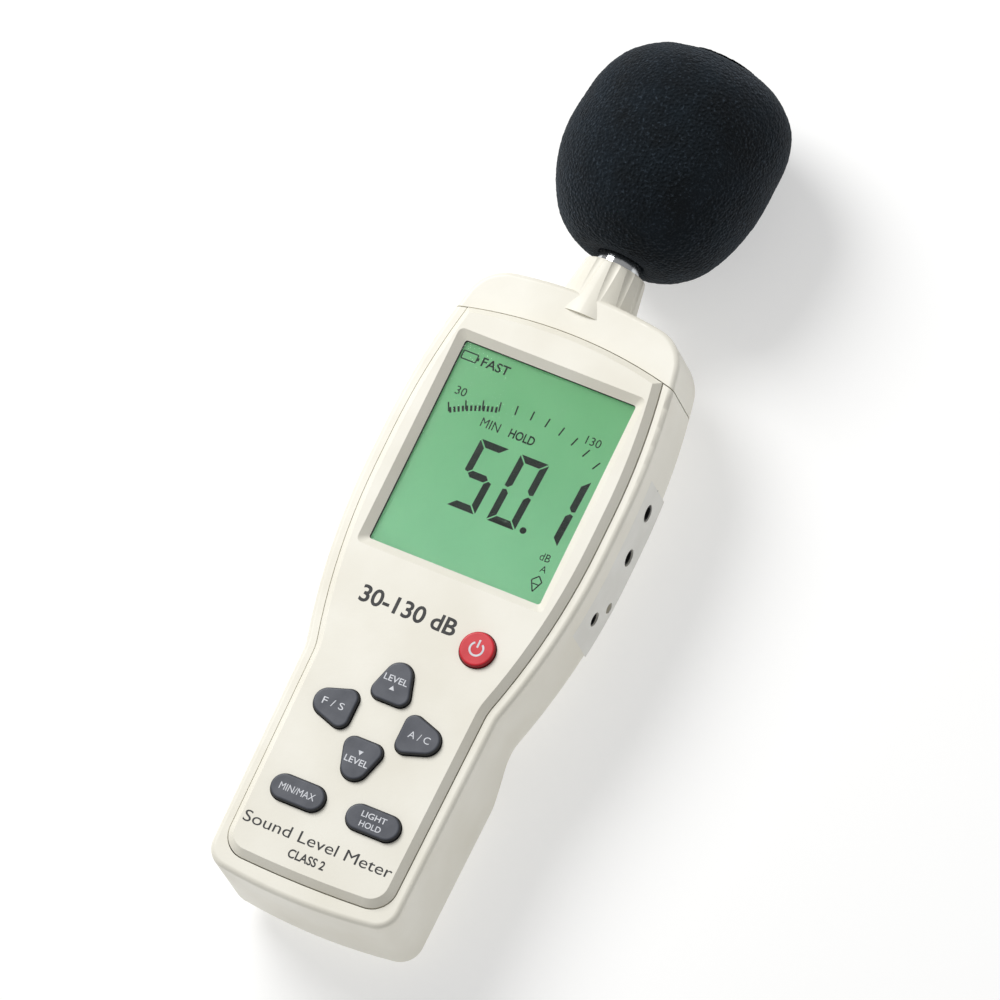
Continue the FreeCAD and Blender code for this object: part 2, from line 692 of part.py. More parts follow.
def rear_cover(case, block, cavity):
    """Tray with the back, the side walls and the border round the front cover."""
    shell = block.common(seam_disc(-SEAM_GAP / 2, BACK_Z - HIDDEN, FACE_Z))
    shell = shell.cut(cavity)
    shell = shell.cut(prism(front_plan(case, -SEAM_GAP), RIM_Z - 2 * WALL, FACE_Z))

    # Battery box: roof and walls round the four cells.
    half = BAY_HALF_WIDTH
    bay_box = box(-half - 2 * BAY_WALL, half + 2 * BAY_WALL, BAY_START - BAY_WALL, BAY_END + BAY_WALL,
                  FLOOR_Z - 0.5, BAY_ROOF_Z + BAY_WALL)
    shell = shell.fuse(bay_box.common(prism(inset(case, WALL / 2), BACK_Z, FACE_Z)))
    shell = shell.cut(box(-half, half, BAY_START, BAY_END, BACK_Z, BAY_ROOF_Z))
    shell = shell.cut(door_profile(DOOR_GAP))

    # Screw bosses and the boss of the tripod insert.
    for x, y in case_screw_places():
        boss = rod(BOSS_RADIUS, (x, y, FLOOR_Z), BOSS_JOINT_Z - FLOOR_Z)
        head_height = SCREW_SINK + SCREW_HEAD_HEIGHT + 1.0
        boss = boss.fuse(rod(SCREW_HEAD_RADIUS + WALL, (x, y, BACK_Z + 0.5), head_height))
        shell = shell.fuse(boss.common(seam_disc(-SEAM_GAP / 2, BACK_Z, FACE_Z)))
    boss_radius = TRIPOD_INSERT_RADIUS + TRIPOD_BOSS_WALL
    boss_height = TRIPOD_INSERT_LENGTH + TRIPOD_BOSS_WALL - WALL + 0.5
    shell = shell.fuse(rod(boss_radius, (0, TRIPOD_UP, FLOOR_Z - 0.5), boss_height))

    # Tongue that the head cap slips over, with two tabs for its screws.
    low_z = FLOOR_Z + PEG_CLEARANCE
    high_z = BOARD_BOTTOM_Z - 2.0
    cap_waste = relief(WALL + PEG_CLEARANCE)
    slip_in = WALL + PEG_CLEARANCE
    for grow_in, foot_z, disc_low, disc_high in (
            (WALL / 2, FLOOR_Z - WALL / 4, -TONGUE_ROOT, -SEAM_GAP / 2),
            (slip_in, low_z, -SEAM_GAP, TONGUE)):
        outer = prism(inset(case, grow_in), foot_z, high_z)
        inner = prism(inset(case, slip_in + TONGUE_WALL), low_z + TONGUE_WALL, high_z + HIDDEN)
        band = outer.cut(inner).common(seam_disc(disc_high, BACK_Z, FACE_Z))
        band = band.cut(seam_disc(disc_low, BACK_Z, FACE_Z)).common(block)
        if grow_in > WALL:
            rounding = prism(inset(case, grow_in), low_z, high_z)
            rounding = rounding.makeFillet(BACK_RADIUS - WALL, level_edges(rounding, low_z))
            band = band.common(rounding)
            for waste in cap_waste:
                band = band.cut(waste)
        shell = shell.fuse(band)
    for x, y in cap_screw_places():
        tab = box(x - TAB_HALF_WIDTH, x + TAB_HALF_WIDTH, y - TAB_LENGTH, y + TAB_HALF_WIDTH / 2,
                  low_z, low_z + TAB_DEPTH)
        shell = shell.fuse(tab.cut(cap_waste))

    # Holes.
    for x, y in case_screw_places():
        shell = shell.cut(rod(SCREW_RADIUS + HOLE_PLAY, (x, y, BACK_Z - HIDDEN), FACE_Z))
        head_bore = SCREW_SINK + SCREW_HEAD_HEIGHT
        shell = shell.cut(rod(SCREW_HEAD_RADIUS + 0.3, (x, y, BACK_Z - HIDDEN), head_bore + HIDDEN))
    for x, y in cap_screw_places():
        shell = shell.cut(rod(SMALL_SCREW_RADIUS, (x, y, BACK_Z), 2 * WALL + 4))
    insert_depth = TRIPOD_INSERT_LENGTH + HIDDEN
    shell = shell.cut(rod(TRIPOD_INSERT_RADIUS, (0, TRIPOD_UP, BACK_Z - HIDDEN), insert_depth))
    for y, z, radius in socket_holes().values():
        shell = shell.cut(rod(radius, (HEAD_WIDTH / 2 - 4 * WALL, y, z), 5 * WALL, X_AXIS))
    shell = shell.cut(socket_label_patch(case))
    shell = shell.cut(rating_label_patch())
    return shell


def front_cover(case):
    """Raised front plate with the window, the key holes and a skirt down into the tray."""
    cover = prism(front_plan(case), FACE_Z - SKIRT_HEIGHT - SKIN, FACE_Z)
    cover = cover.makeChamfer(PLATEAU_BEVEL, level_edges(cover, FACE_Z))
    cover = cover.cut(prism(front_plan(case, SKIRT), FACE_Z - SKIRT_HEIGHT - SKIN - HIDDEN, SKIN_Z))

    half_x = VIEW_WIDTH / 2
    half_y = VIEW_HEIGHT / 2
    sloped = []
    for grow, z in ((0.0, SKIN_Z), (BEZEL_SLOPE, FACE_Z)):
        sloped.append(rounded_rectangle(-half_x - grow, half_x + grow, DISPLAY_UP - half_y - grow,
                                        DISPLAY_UP + half_y + grow, 0.8 + grow / 3, z))
    cover = cover.cut(Part.makeLoft(sloped, True, True))
    for plan in key_plans().values():
        cover = cover.cut(prism(inset(plan, -KEY_GAP), SKIN_Z - HIDDEN, FACE_Z + HIDDEN))

    for x, y in case_screw_places():
        cover = cover.fuse(rod(BOSS_RADIUS, (x, y, BOSS_JOINT_Z), SKIN_Z - BOSS_JOINT_Z + 0.2))
        pilot_end = SCREW_THREAD_Z + SCREW_LENGTH + 1.0
        cover = cover.cut(rod(SCREW_RADIUS, (x, y, BOSS_JOINT_Z - HIDDEN), pilot_end - BOSS_JOINT_Z + HIDDEN))
    for x, y in board_screw_places():
        cover = cover.fuse(rod(BOARD_BOSS_RADIUS, (x, y, BOARD_TOP_Z), SKIN_Z - BOARD_TOP_Z + 0.2))
        cover = cover.cut(rod(SMALL_SCREW_RADIUS, (x, y, BOARD_TOP_Z - HIDDEN), 5.0))
    return cover


def neck():
    """Tapered neck of the head cap, with soft flutes that deepen towards its rim."""
    root = BODY_LENGTH - NECK_ROOT
    length = NECK_RIM_UP - root
    root_radius = NECK_BASE_RADIUS + NECK_ROOT_FLARE
    solid = Part.makeCone(root_radius, NECK_RIM_RADIUS, length, Vector(0, root, MIC_AXIS_Z), Y_AXIS)
    rim = [e for e in solid.Edges if abs(e.BoundBox.YMin - NECK_RIM_UP) < 1e-4 and e.BoundBox.XLength > 1]
    solid = solid.makeFillet(NECK_RIM_ROUND, rim)
    fade_up = BODY_LENGTH - 1.0
    slope = (root_radius - NECK_RIM_RADIUS) / length
    fade_radius = NECK_RIM_RADIUS + slope * (NECK_RIM_UP - fade_up)
    for i in range(FLUTES):
        turn = 2 * math.pi * (i + 0.5) / FLUTES
        outward = Vector(math.cos(turn), 0, math.sin(turn))
        axis_start = Vector(0, fade_up, MIC_AXIS_Z) + outward * (fade_radius + FLUTE_RADIUS)
        rim_reach = NECK_RIM_RADIUS + FLUTE_RADIUS - FLUTE_DEPTH
        axis_end = Vector(0, NECK_RIM_UP, MIC_AXIS_Z) + outward * rim_reach
        run = axis_end - axis_start
        length_past = run.Length + 3.0
        solid = solid.cut(Part.makeCylinder(FLUTE_RADIUS, length_past, axis_start, run))
    return solid


def head_cap(block, cavity):
    """Moulded cap that closes the head and carries the microphone neck."""
    cap = block.cut(seam_disc(SEAM_GAP / 2, BACK_Z - HIDDEN, FACE_Z))
    cap = cap.cut(cavity)
    cap = cap.fuse(neck())
    bore_start = (0, BODY_LENGTH - 2 * NECK_ROOT, MIC_AXIS_Z)
    cap = cap.cut(rod(TUBE_RADIUS + SLIP, bore_start, 4 * NECK_LENGTH, Y_AXIS))
    groove_start = (0, NECK_RIM_UP - SEAL_BELOW_RIM, MIC_AXIS_Z)
    cap = cap.cut(ring(TUBE_RADIUS + SEAL_DEPTH, TUBE_RADIUS - 1.0, groove_start, SEAL_WIDTH, Y_AXIS))
    for x, y in cap_screw_places():
        cap = cap.cut(rod(SMALL_SCREW_RADIUS + HOLE_PLAY, (x, y, BACK_Z - HIDDEN), 3 * WALL + HIDDEN))
        seat_depth = CAP_SCREW_SINK + SMALL_HEAD_HEIGHT
        cap = cap.cut(rod(SMALL_HEAD_RADIUS + 0.2, (x, y, BACK_Z - HIDDEN), seat_depth + HIDDEN))
    return cap


def battery_door(block):
    """Sliding door over the cells, flush with the back and round at the bottom end."""
    door = door_profile(0.0).common(block)
    for i in range(GRIP_RIBS):
        y = BAY_START + 10.0 + i * GRIP_PITCH
        door = door.cut(box(-9, 9, y, y + GRIP_PITCH / 2, BACK_Z - HIDDEN, BACK_Z + GRIP_DEPTH))
    return door


# ---- Display ------------------------------------------------------------------------------------

def display_plate(width, height, z0, z1, radius=0.8):
    """Flat plate centred on the display."""
    wire = rounded_rectangle(-width / 2, width / 2, DISPLAY_UP - height / 2, DISPLAY_UP + height / 2,
                             radius)
    return prism(Part.Face(wire), z0, z1)


def display_window():
    """Clear window glued behind the bezel."""
    return display_plate(VIEW_WIDTH + 2 * WINDOW_LAP, VIEW_HEIGHT + 2 * WINDOW_LAP, WINDOW_Z, SKIN_Z)


def lcd_gasket():
    """Black foam frame between the window and the glass."""
    outer = display_plate(VIEW_WIDTH + 2 * WINDOW_LAP, VIEW_HEIGHT + 2 * WINDOW_LAP, LCD_TOP_Z, WINDOW_Z)
    return outer.cut(display_plate(VIEW_WIDTH, VIEW_HEIGHT, LCD_TOP_Z - HIDDEN, WINDOW_Z + HIDDEN))


def lcd_panel():
    """Liquid-crystal glass."""
    return display_plate(LCD_WIDTH, LCD_HEIGHT, LCD_BOTTOM_Z, LCD_TOP_Z, 0.3)


def lcd_backlight():
    """Light guide under the glass, short of the contact ledges at both ends."""
    return display_plate(LCD_WIDTH - 1.0, VIEW_HEIGHT + 0.4, BACKLIGHT_Z, LCD_BOTTOM_Z, 0.3)


def lcd_holder():
    """Moulded frame that holds the glass and the light guide over the board."""
    width = LCD_WIDTH + 2 * (LCD_PLAY + HOLDER_WALL)
    height = LCD_HEIGHT + 2 * (LCD_PLAY + HOLDER_WALL)
    frame = display_plate(width, height, BOARD_TOP_Z, LCD_TOP_Z, 0.8)
    frame = frame.cut(display_plate(LCD_WIDTH + 2 * LCD_PLAY, LCD_HEIGHT + 2 * LCD_PLAY, BACKLIGHT_Z,
                                    FACE_Z, 0.3))
    return frame.cut(display_plate(LCD_WIDTH - 5.0, LCD_HEIGHT + 2 * LCD_PLAY, BOARD_TOP_Z - HIDDEN,
                                   FACE_Z, 0.3))


def zebra_strips():
    """Two rubber connector strips between the board and the glass."""
    strips = []
    for side in (1, -1):
        middle = DISPLAY_UP + side * (LCD_HEIGHT / 2 - 0.1 - ZEBRA_WIDTH / 2)
        strips.append(box(-LCD_WIDTH / 2 + 3.5, LCD_WIDTH / 2 - 3.5, middle - ZEBRA_WIDTH / 2,
                          middle + ZEBRA_WIDTH / 2, BOARD_TOP_Z, LCD_BOTTOM_Z))
    return Part.makeCompound(strips)


# ---- Boards and what is on them -----------------------------------------------------------------

def main_board(case):
    """Circuit board under the display and the keys."""
    board = prism(front_plan(case, SKIRT + BOARD_EDGE_GAP), BOARD_BOTTOM_Z, BOARD_TOP_Z)
    through = BOARD_THICKNESS + 2 * HIDDEN
    for x, y in case_screw_places():
        board = board.cut(rod(BOSS_RADIUS + BOARD_HOLE_PLAY, (x, y, BOARD_BOTTOM_Z - HIDDEN), through))
    for x, y in board_screw_places():
        board = board.cut(rod(SMALL_SCREW_RADIUS + HOLE_PLAY, (x, y, BOARD_BOTTOM_Z - HIDDEN), through))
    return board


def board_chips():
    """Chips and capacitors soldered under the board."""
    middle = DISPLAY_UP
    solids = []
    for x, y, width, length, height in ((-8.0, middle + 12.0, 12.0, 12.0, 1.6),
                                        (8.0, middle + 18.0, 6.0, 5.0, 1.5),
                                        (-18.0, middle - 4.0, 5.0, 6.2, 1.5),
                                        (-6.0, middle - 12.0, 8.0, 10.0, 1.8),
                                        (-16.0, middle - 26.0, 5.0, 5.0, 1.5)):
        solids.append(box(x - width / 2, x + width / 2, y - length / 2, y + length / 2,
                          BOARD_BOTTOM_Z - height, BOARD_BOTTOM_Z))
    for x, y in ((6.0, middle - 18.0), (14.0, middle + 26.0), (-20.0, middle + 24.0)):
        solids.append(rod(2.5, (x, y, BOARD_BOTTOM_Z - 5.4), 5.4))
    return Part.makeCompound(solids)


def keypad_mat(case):
    """Rubber web over the board with a dome under each key."""
    top_up = DISPLAY_UP - POWER_AT[1] + 9.0
    through = MAT_THICKNESS + 2 * HIDDEN
    sheet = prism(front_plan(case, SKIRT + 2 * BOARD_EDGE_GAP), BOARD_TOP_Z, MAT_TOP_Z)
    sheet = sheet.common(box(-HEAD_WIDTH, HEAD_WIDTH, 0, top_up, BOARD_TOP_Z, MAT_TOP_Z))
    for x, y in case_screw_places():
        sheet = sheet.cut(rod(BOSS_RADIUS + MAT_HOLE_PLAY, (x, y, BOARD_TOP_Z - HIDDEN), through))
    for x, y in board_screw_places():
        sheet = sheet.cut(rod(BOARD_BOSS_RADIUS + BOARD_HOLE_PLAY, (x, y, BOARD_TOP_Z - HIDDEN), through))
    for plan in key_plans().values():
        centre = plan.CenterOfMass
        sheet = sheet.fuse(rod(DOME_RADIUS, (centre.x, centre.y, BOARD_TOP_Z), MAT_THICKNESS + DOME_HEIGHT))
    return sheet


def key(plan):
    """One key: cap through the cover, flange under the skin, foot over its dome."""
    foot_z = MAT_TOP_Z + DOME_HEIGHT + KEY_TRAVEL + FOOT_PLAY
    flange_top = SKIN_Z - KEY_GAP
    cap = prism(plan, flange_top - KEY_FLANGE, FACE_Z + KEY_PROUD)
    cap = cap.makeFillet(KEY_TOP_RADIUS, level_edges(cap, FACE_Z + KEY_PROUD))
    flange = prism(inset(plan, -KEY_FLANGE_LAP), flange_top - KEY_FLANGE, flange_top)
    foot = prism(inset(plan, FOOT_INSET), foot_z, flange_top - KEY_FLANGE + 0.2)
    return cap.fuse(flange).fuse(foot).removeSplitter()


def jack(place, hole_radius, body_width, pin_radius=0.0):
    """Socket that hangs under the board with its nose in the wall."""
    y, z, _ = place
    half = body_width / 2
    nose_x = wall_x(y) - SOCKET_RECESS
    body_x = wall_x(y) - WALL - JACK_BEHIND_WALL
    body = box(body_x - JACK_BODY_DEPTH, body_x, y - half, y + half, z - half, BOARD_BOTTOM_Z)
    nose = rod(hole_radius - NOSE_PLAY, (body_x - HIDDEN, y, z), nose_x - body_x + HIDDEN, X_AXIS)
    body = body.fuse(nose)
    bore_radius = hole_radius - 0.6 if pin_radius else JACK_RADIUS
    body = body.cut(rod(bore_radius, (nose_x - JACK_DEPTH, y, z), JACK_DEPTH + HIDDEN, X_AXIS))
    if pin_radius:
        body = body.fuse(rod(pin_radius, (nose_x - JACK_DEPTH - 0.5, y, z), JACK_DEPTH - 1.0, X_AXIS))
    return body


def trimmer_x():
    """X of the front of the calibration trimmer's body."""
    return wall_x(DISPLAY_UP + TRIMMER_AT[0]) - WALL - TRIMMER_BEHIND_WALL


def cal_trimmer():
    """Body of the calibration trimmer, on two legs under the board."""
    y, z, _ = socket_holes()["cal_trimmer"]
    front_x = trimmer_x()
    depth, width, height = TRIMMER_BODY
    body = box(front_x - depth, front_x, y - width / 2, y + width / 2, z - height / 2, z + height / 2)
    half = TRIMMER_LEG_WIDTH / 2
    for back in TRIMMER_LEG_PLACES:
        x = front_x - back
        body = body.fuse(box(x - half, x + half, y - 0.5, y + 0.5, z + height / 2 - 0.2, BOARD_BOTTOM_Z))
    seat = rod(TRIMMER_ROTOR_RADIUS + SLIP, (front_x - ROTOR_SEAT_DEPTH, y, z), ROTOR_SEAT_DEPTH + HIDDEN,
               X_AXIS)
    return body.cut(seat)


def cal_rotor():
    """Slotted screw of the trimmer, turned through the hole in the wall."""
    y, z, _ = socket_holes()["cal_trimmer"]
    start_x = trimmer_x() - ROTOR_SEAT_DEPTH + SLIP
    head = rod(TRIMMER_ROTOR_RADIUS, (start_x, y, z), ROTOR_LENGTH, X_AXIS)
    slot_x = start_x + ROTOR_LENGTH - 0.85
    half = ROTOR_SLOT / 2
    return head.cut(box(slot_x, slot_x + 2, y - 2, y + 2, z - half, z + half))


# ---- Microphone ---------------------------------------------------------------------------------

def mic_tube():
    """Chromed tube that holds the microphone capsule."""
    return ring(TUBE_RADIUS, TUBE_RADIUS - TUBE_WALL, (0, TUBE_START_UP, MIC_AXIS_Z), TUBE_LENGTH, Y_AXIS)


def mic_capsule():
    """Half-inch measuring capsule: a body with a spigot into the tube."""
    start = TUBE_START_UP + TUBE_LENGTH
    body = rod(TUBE_RADIUS, (0, start, MIC_AXIS_Z), CAPSULE_LENGTH, Y_AXIS)
    body = body.cut(ring(TUBE_RADIUS + 1, TUBE_RADIUS - 0.4, (0, start + 1.0, MIC_AXIS_Z), 0.8, Y_AXIS))
    spigot = rod(TUBE_RADIUS - TUBE_WALL - SLIP, (0, start - 5.0, MIC_AXIS_Z), 5.0, Y_AXIS)
    return body.fuse(spigot)


def mic_grille():
    """Protection grid on the capsule."""
    start = TUBE_START_UP + TUBE_LENGTH + CAPSULE_LENGTH
    grid = rod(TUBE_RADIUS - 0.1, (0, start, MIC_AXIS_Z), GRILLE_THICKNESS, Y_AXIS)
    for radius, count in ((0.0, 1), (2.0, 6), (4.0, 12)):
        for i in range(count):
            turn = 2 * math.pi * i / count
            x = radius * math.cos(turn)
            z = MIC_AXIS_Z + radius * math.sin(turn)
            grid = grid.cut(rod(0.6, (x, start - HIDDEN, z), GRILLE_THICKNESS + 2 * HIDDEN, Y_AXIS))
    return grid


def mic_seal():
    """O-ring that grips the tube inside the neck."""
    start = (0, NECK_RIM_UP - SEAL_BELOW_RIM + SLIP, MIC_AXIS_Z)
    return ring(TUBE_RADIUS + SEAL_DEPTH - SLIP, TUBE_RADIUS + SLIP / 2, start, SEAL_WIDTH - 2 * SLIP, Y_AXIS)


def tube_clamp():
    """Split collar that holds the tube behind the neck, flat on top where it meets the roof of the cap."""
    start = TUBE_START_UP
    outer = TUBE_RADIUS + CLAMP_WALL
    collar = ring(outer, TUBE_RADIUS + SLIP, (0, start, MIC_AXIS_Z), CLAMP_WIDTH, Y_AXIS)
    collar = collar.common(box(-outer, outer, start, start + CLAMP_WIDTH, BACK_Z, RIM_Z - WALL - SLIP))
    return collar.cut(box(-CLAMP_SLOT / 2, CLAMP_SLOT / 2, start - 1, start + CLAMP_WIDTH + 1, BACK_Z,
                          MIC_AXIS_Z))


def mic_board():
    """Preamplifier board inside the tube."""
    half = TUBE_RADIUS - TUBE_WALL - 0.6
    return box(-half, half, TUBE_START_UP + 1.0, TUBE_START_UP + TUBE_LENGTH - 6.0, MIC_AXIS_Z - 0.5,
               MIC_AXIS_Z + 0.5)


def mic_lead():
    """Screened lead from the tube down to the main board."""
    start = Vector(0, TUBE_START_UP + 1.0, MIC_AXIS_Z - LEAD_BELOW_AXIS)
    bend = LEAD_BEND
    middle_z = start.z - bend
    low_z = middle_z - bend
    behind = TUBE_START_UP - 1.5
    diagonal = math.sqrt(0.5)
    path = Part.Wire([
        Part.makeLine(start, Vector(0, behind, start.z)),
        Part.Arc(Vector(0, behind, start.z),
                 Vector(0, behind - bend * diagonal, start.z - bend * (1 - diagonal)),
                 Vector(0, behind - bend, middle_z)).toShape(),
        Part.Arc(Vector(0, behind - bend, middle_z),
                 Vector(0, behind - bend - bend * (1 - diagonal), middle_z - bend * diagonal),
                 Vector(0, behind - 2 * bend, low_z)).toShape(),
        Part.makeLine(Vector(0, behind - 2 * bend, low_z), Vector(0, SEAM_UP - PLUG_BELOW_SEAM, low_z)),
    ])
    section = Part.Wire(Part.makeCircle(LEAD_RADIUS, start, Y_AXIS))
    return path.makePipeShell([section], True, True)


def mic_plug():
    """White plug and header that join the microphone lead to the board."""
    low_z = MIC_AXIS_Z - LEAD_BELOW_AXIS - 2 * LEAD_BEND
    end_up = SEAM_UP - PLUG_BELOW_SEAM
    half = PLUG_WIDTH / 2
    return box(-half, half, end_up - PLUG_LENGTH, end_up, low_z - 1.5, BOARD_BOTTOM_Z)


def windscreen():
    """Foam ball with a blunt near end, bored to slip over the tube."""
    shape_points = [(SCREEN_NEAR_RADIUS, 0.0)]
    for share, reach in ((0.53, 1.4), (0.67, 4.4), (0.80, 9.6), (0.885, 15.3), (0.957, 22.8)):
        shape_points.append((share * SCREEN_RADIUS, reach))
    shape_points.append((SCREEN_RADIUS, SCREEN_WIDEST_AT))
    dome = SCREEN_LENGTH - SCREEN_WIDEST_AT
    power = SCREEN_DOME_POWER
    for share in (0.30, 0.52, 0.70, 0.84, 0.94, 0.985):
        radius = SCREEN_RADIUS * (1 - share ** power) ** (1 / power)
        shape_points.append((radius, SCREEN_WIDEST_AT + dome * share))
    shape_points.append((0.0, SCREEN_LENGTH))
    curve = Part.BSplineCurve()
    knots = [Vector(r, SCREEN_UP + y, MIC_AXIS_Z) for r, y in shape_points]
    curve.interpolate(Points=knots, InitialTangent=Vector(1, 0, 0), FinalTangent=Vector(-1, 0, 0))
    near = Vector(0, SCREEN_UP, MIC_AXIS_Z)
    wire = Part.Wire([Part.makeLine(near, knots[0]), curve.toShape(), Part.makeLine(knots[-1], near)])
    ball = Part.Face(wire).revolve(near, Y_AXIS, 360)
    mic_end = TUBE_START_UP + TUBE_LENGTH + CAPSULE_LENGTH + GRILLE_THICKNESS
    bore_length = mic_end + 1.0 - SCREEN_UP + HIDDEN
    bore = rod(TUBE_RADIUS + SCREEN_CLEARANCE, (0, SCREEN_UP - HIDDEN, MIC_AXIS_Z), bore_length, Y_AXIS)
    return ball.cut(bore)


# ---- Battery bay --------------------------------------------------------------------------------

def cell_places():
    """X of each cell, and whether its nub points towards the microphone."""
    first = -(CELL_COUNT - 1) * CELL_PITCH / 2
    return [(first + i * CELL_PITCH, i % 2 == 0) for i in range(CELL_COUNT)]


def battery_cells():
    """AAA cells, laid head to tail."""
    cells = []
    for x, nub_up in cell_places():
        if nub_up:
            start = BAY_START + PLATE_THICKNESS + SPRING_LENGTH
            nub_start = start + CELL_LENGTH
        else:
            start = BAY_START + PLATE_THICKNESS + CELL_NUB_LENGTH
            nub_start = start - CELL_NUB_LENGTH
        cell = rod(CELL_RADIUS, (x, start, CELL_Z), CELL_LENGTH, Y_AXIS)
        cells.append(cell.fuse(rod(CELL_NUB_RADIUS, (x, nub_start, CELL_Z), CELL_NUB_LENGTH, Y_AXIS)))
    return Part.makeCompound(cells)


def battery_springs():
    """Springs behind the flat end of each cell, drawn as rings on two short posts."""
    wire_radius = SPRING_WIRE_RADIUS
    pitch = (SPRING_LENGTH - 2 * wire_radius) / (SPRING_RINGS - 1)
    springs = []
    for x, nub_up in cell_places():
        start = BAY_START + PLATE_THICKNESS if nub_up else BAY_END - PLATE_THICKNESS - SPRING_LENGTH
        rings = []
        for i in range(SPRING_RINGS):
            centre = Vector(x, start + wire_radius + i * pitch, CELL_Z)
            rings.append(Part.makeTorus(SPRING_RADIUS, wire_radius, centre, Y_AXIS))
        spring = rings[0].fuse(rings[1:])
        for i in range(SPRING_RINGS - 1):
            side = 1 if i % 2 else -1
            low = start + wire_radius + i * pitch
            foot = (x, low, CELL_Z + side * SPRING_RADIUS)
            spring = spring.fuse(rod(wire_radius * 0.8, foot, pitch, Y_AXIS))
        springs.append(spring)
    return Part.makeCompound(springs)


def battery_plates():
    """Sprung contact plates at both ends of the bay."""
    plates = []
    for y in (BAY_START, BAY_END - PLATE_THICKNESS):
        for x, _ in cell_places():
            plates.append(box(x - 4.4, x + 4.4, y, y + PLATE_THICKNESS, CELL_Z - 4.0, CELL_Z + 4.0))
    return Part.makeCompound(plates)


# ---- Fasteners and labels -----------------------------------------------------------------------

def screw(x, y, z, radius, length, head_radius, head_height):
    """Pan-head screw that points to +Z, with a cross recess in its head."""
    body = rod(head_radius, (x, y, z), head_height)
    body = body.fuse(rod(radius, (x, y, z + head_height - 0.1), length))
    reach = head_radius * 0.62
    slot = head_radius * 0.13
    depth = head_height * 0.45
    body = body.cut(box(x - reach, x + reach, y - slot, y + slot, z - HIDDEN, z + depth))
    return body.cut(box(x - slot, x + slot, y - reach, y + reach, z - HIDDEN, z + depth))


def housing_screws():
    """Four screws from the back into the front cover."""
    return Part.makeCompound([
        screw(x, y, BACK_Z + SCREW_SINK, SCREW_RADIUS - SLIP, SCREW_LENGTH, SCREW_HEAD_RADIUS,
              SCREW_HEAD_HEIGHT) for x, y in case_screw_places()])


def cap_screws():
    """Two small screws from the back through the head cap into the tray's tabs."""
    return Part.makeCompound([
        screw(x, y, BACK_Z + CAP_SCREW_SINK, SMALL_SCREW_RADIUS - SLIP, CAP_SCREW_LENGTH, SMALL_HEAD_RADIUS,
              SMALL_HEAD_HEIGHT)
        for x, y in cap_screw_places()])


def board_screws():
    """Four small screws from below through the board into the front cover."""
    return Part.makeCompound([
        screw(x, y, BOARD_BOTTOM_Z - SMALL_HEAD_HEIGHT, SMALL_SCREW_RADIUS - SLIP, 5.0, SMALL_HEAD_RADIUS,
              SMALL_HEAD_HEIGHT) for x, y in board_screw_places()])


def tripod_insert():
    """Brass insert with a quarter-inch camera thread, drawn at its tapping size."""
    insert = rod(TRIPOD_INSERT_RADIUS, (0, TRIPOD_UP, BACK_Z), TRIPOD_INSERT_LENGTH)
    tap_depth = TRIPOD_INSERT_LENGTH - 1
    return insert.cut(rod(TRIPOD_TAP_RADIUS, (0, TRIPOD_UP, BACK_Z - HIDDEN), tap_depth + HIDDEN))


def socket_label(case):
    """Thin label on the right-hand wall, with openings for the sockets."""
    label = socket_label_patch(case)
    for y, z, radius in socket_holes().values():
        label = label.cut(rod(radius, (HEAD_WIDTH / 2 - 4 * WALL, y, z), 5 * WALL, X_AXIS))
    return label


# ---- Build --------------------------------------------------------------------------------------

def save(name, shape):
    """Move a piece into the part's frame and write it as one STEP file."""
    shape = shape.copy()
    shape.translate(Vector(0, -OVERALL_LENGTH / 2, 0))
    if not shape.isValid() or not shape.Solids:
        raise ValueError(name + " isn't a valid solid")
    solids = shape.Solids
    shape = solids[0] if len(solids) == 1 else Part.makeCompound(solids)
    shape.exportStep(os.path.join("parts", name + ".step"))
    print(name, len(solids), round(sum(s.Volume for s in solids), 1))


def main():
    os.makedirs("parts", exist_ok=True)
    case = case_plan()
    block = case_block(case)
    cavity = case_cavity(case)
    holes = socket_holes()

    save("rear_cover", rear_cover(case, block, cavity))
    save("front_cover", front_cover(case))
    save("head_cap", head_cap(block, cavity))
    save("battery_door", battery_door(block))
    save("display_window", display_window())
    save("lcd_gasket", lcd_gasket())
    save("lcd_panel", lcd_panel())
    save("lcd_backlight", lcd_backlight())
    save("lcd_holder", lcd_holder())
    save("zebra_strips", zebra_strips())
    save("main_board", main_board(case))
    save("board_chips", board_chips())
    save("keypad_mat", keypad_mat(case))
    for name, plan in key_plans().items():
        save(name, key(plan))
    save("ac_output_socket", jack(holes["ac_output_socket"], SOCKET_HOLE_RADIUS, OUTPUT_BODY_WIDTH))
    save("dc_output_socket", jack(holes["dc_output_socket"], SOCKET_HOLE_RADIUS, OUTPUT_BODY_WIDTH))
    save("power_jack", jack(holes["power_jack"], POWER_HOLE_RADIUS, POWER_BODY_WIDTH, POWER_PIN_RADIUS))
    save("cal_trimmer", cal_trimmer())
    save("cal_rotor", cal_rotor())
    save("mic_tube", mic_tube())
    save("mic_capsule", mic_capsule())
    save("mic_grille", mic_grille())
    save("mic_seal", mic_seal())
    save("tube_clamp", tube_clamp())
    save("mic_board", mic_board())
    save("mic_lead", mic_lead())
    save("mic_plug", mic_plug())
    save("windscreen", windscreen())
    save("battery_cells", battery_cells())
    save("battery_springs", battery_springs())
    save("battery_plates", battery_plates())
    save("housing_screws", housing_screws())
    save("cap_screws", cap_screws())
    save("board_screws", board_screws())
    save("tripod_insert", tripod_insert())
    save("rating_label", rating_label_patch())
    save("socket_label", socket_label(case))


main()
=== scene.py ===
"""Hand-held sound level meter: finishes, foam windscreen, display and print round the fixed CAD frame.

Laid out as an add-on and run as a script. Lengths in the code are millimetres until they reach a mesh.
"""

import json
import math

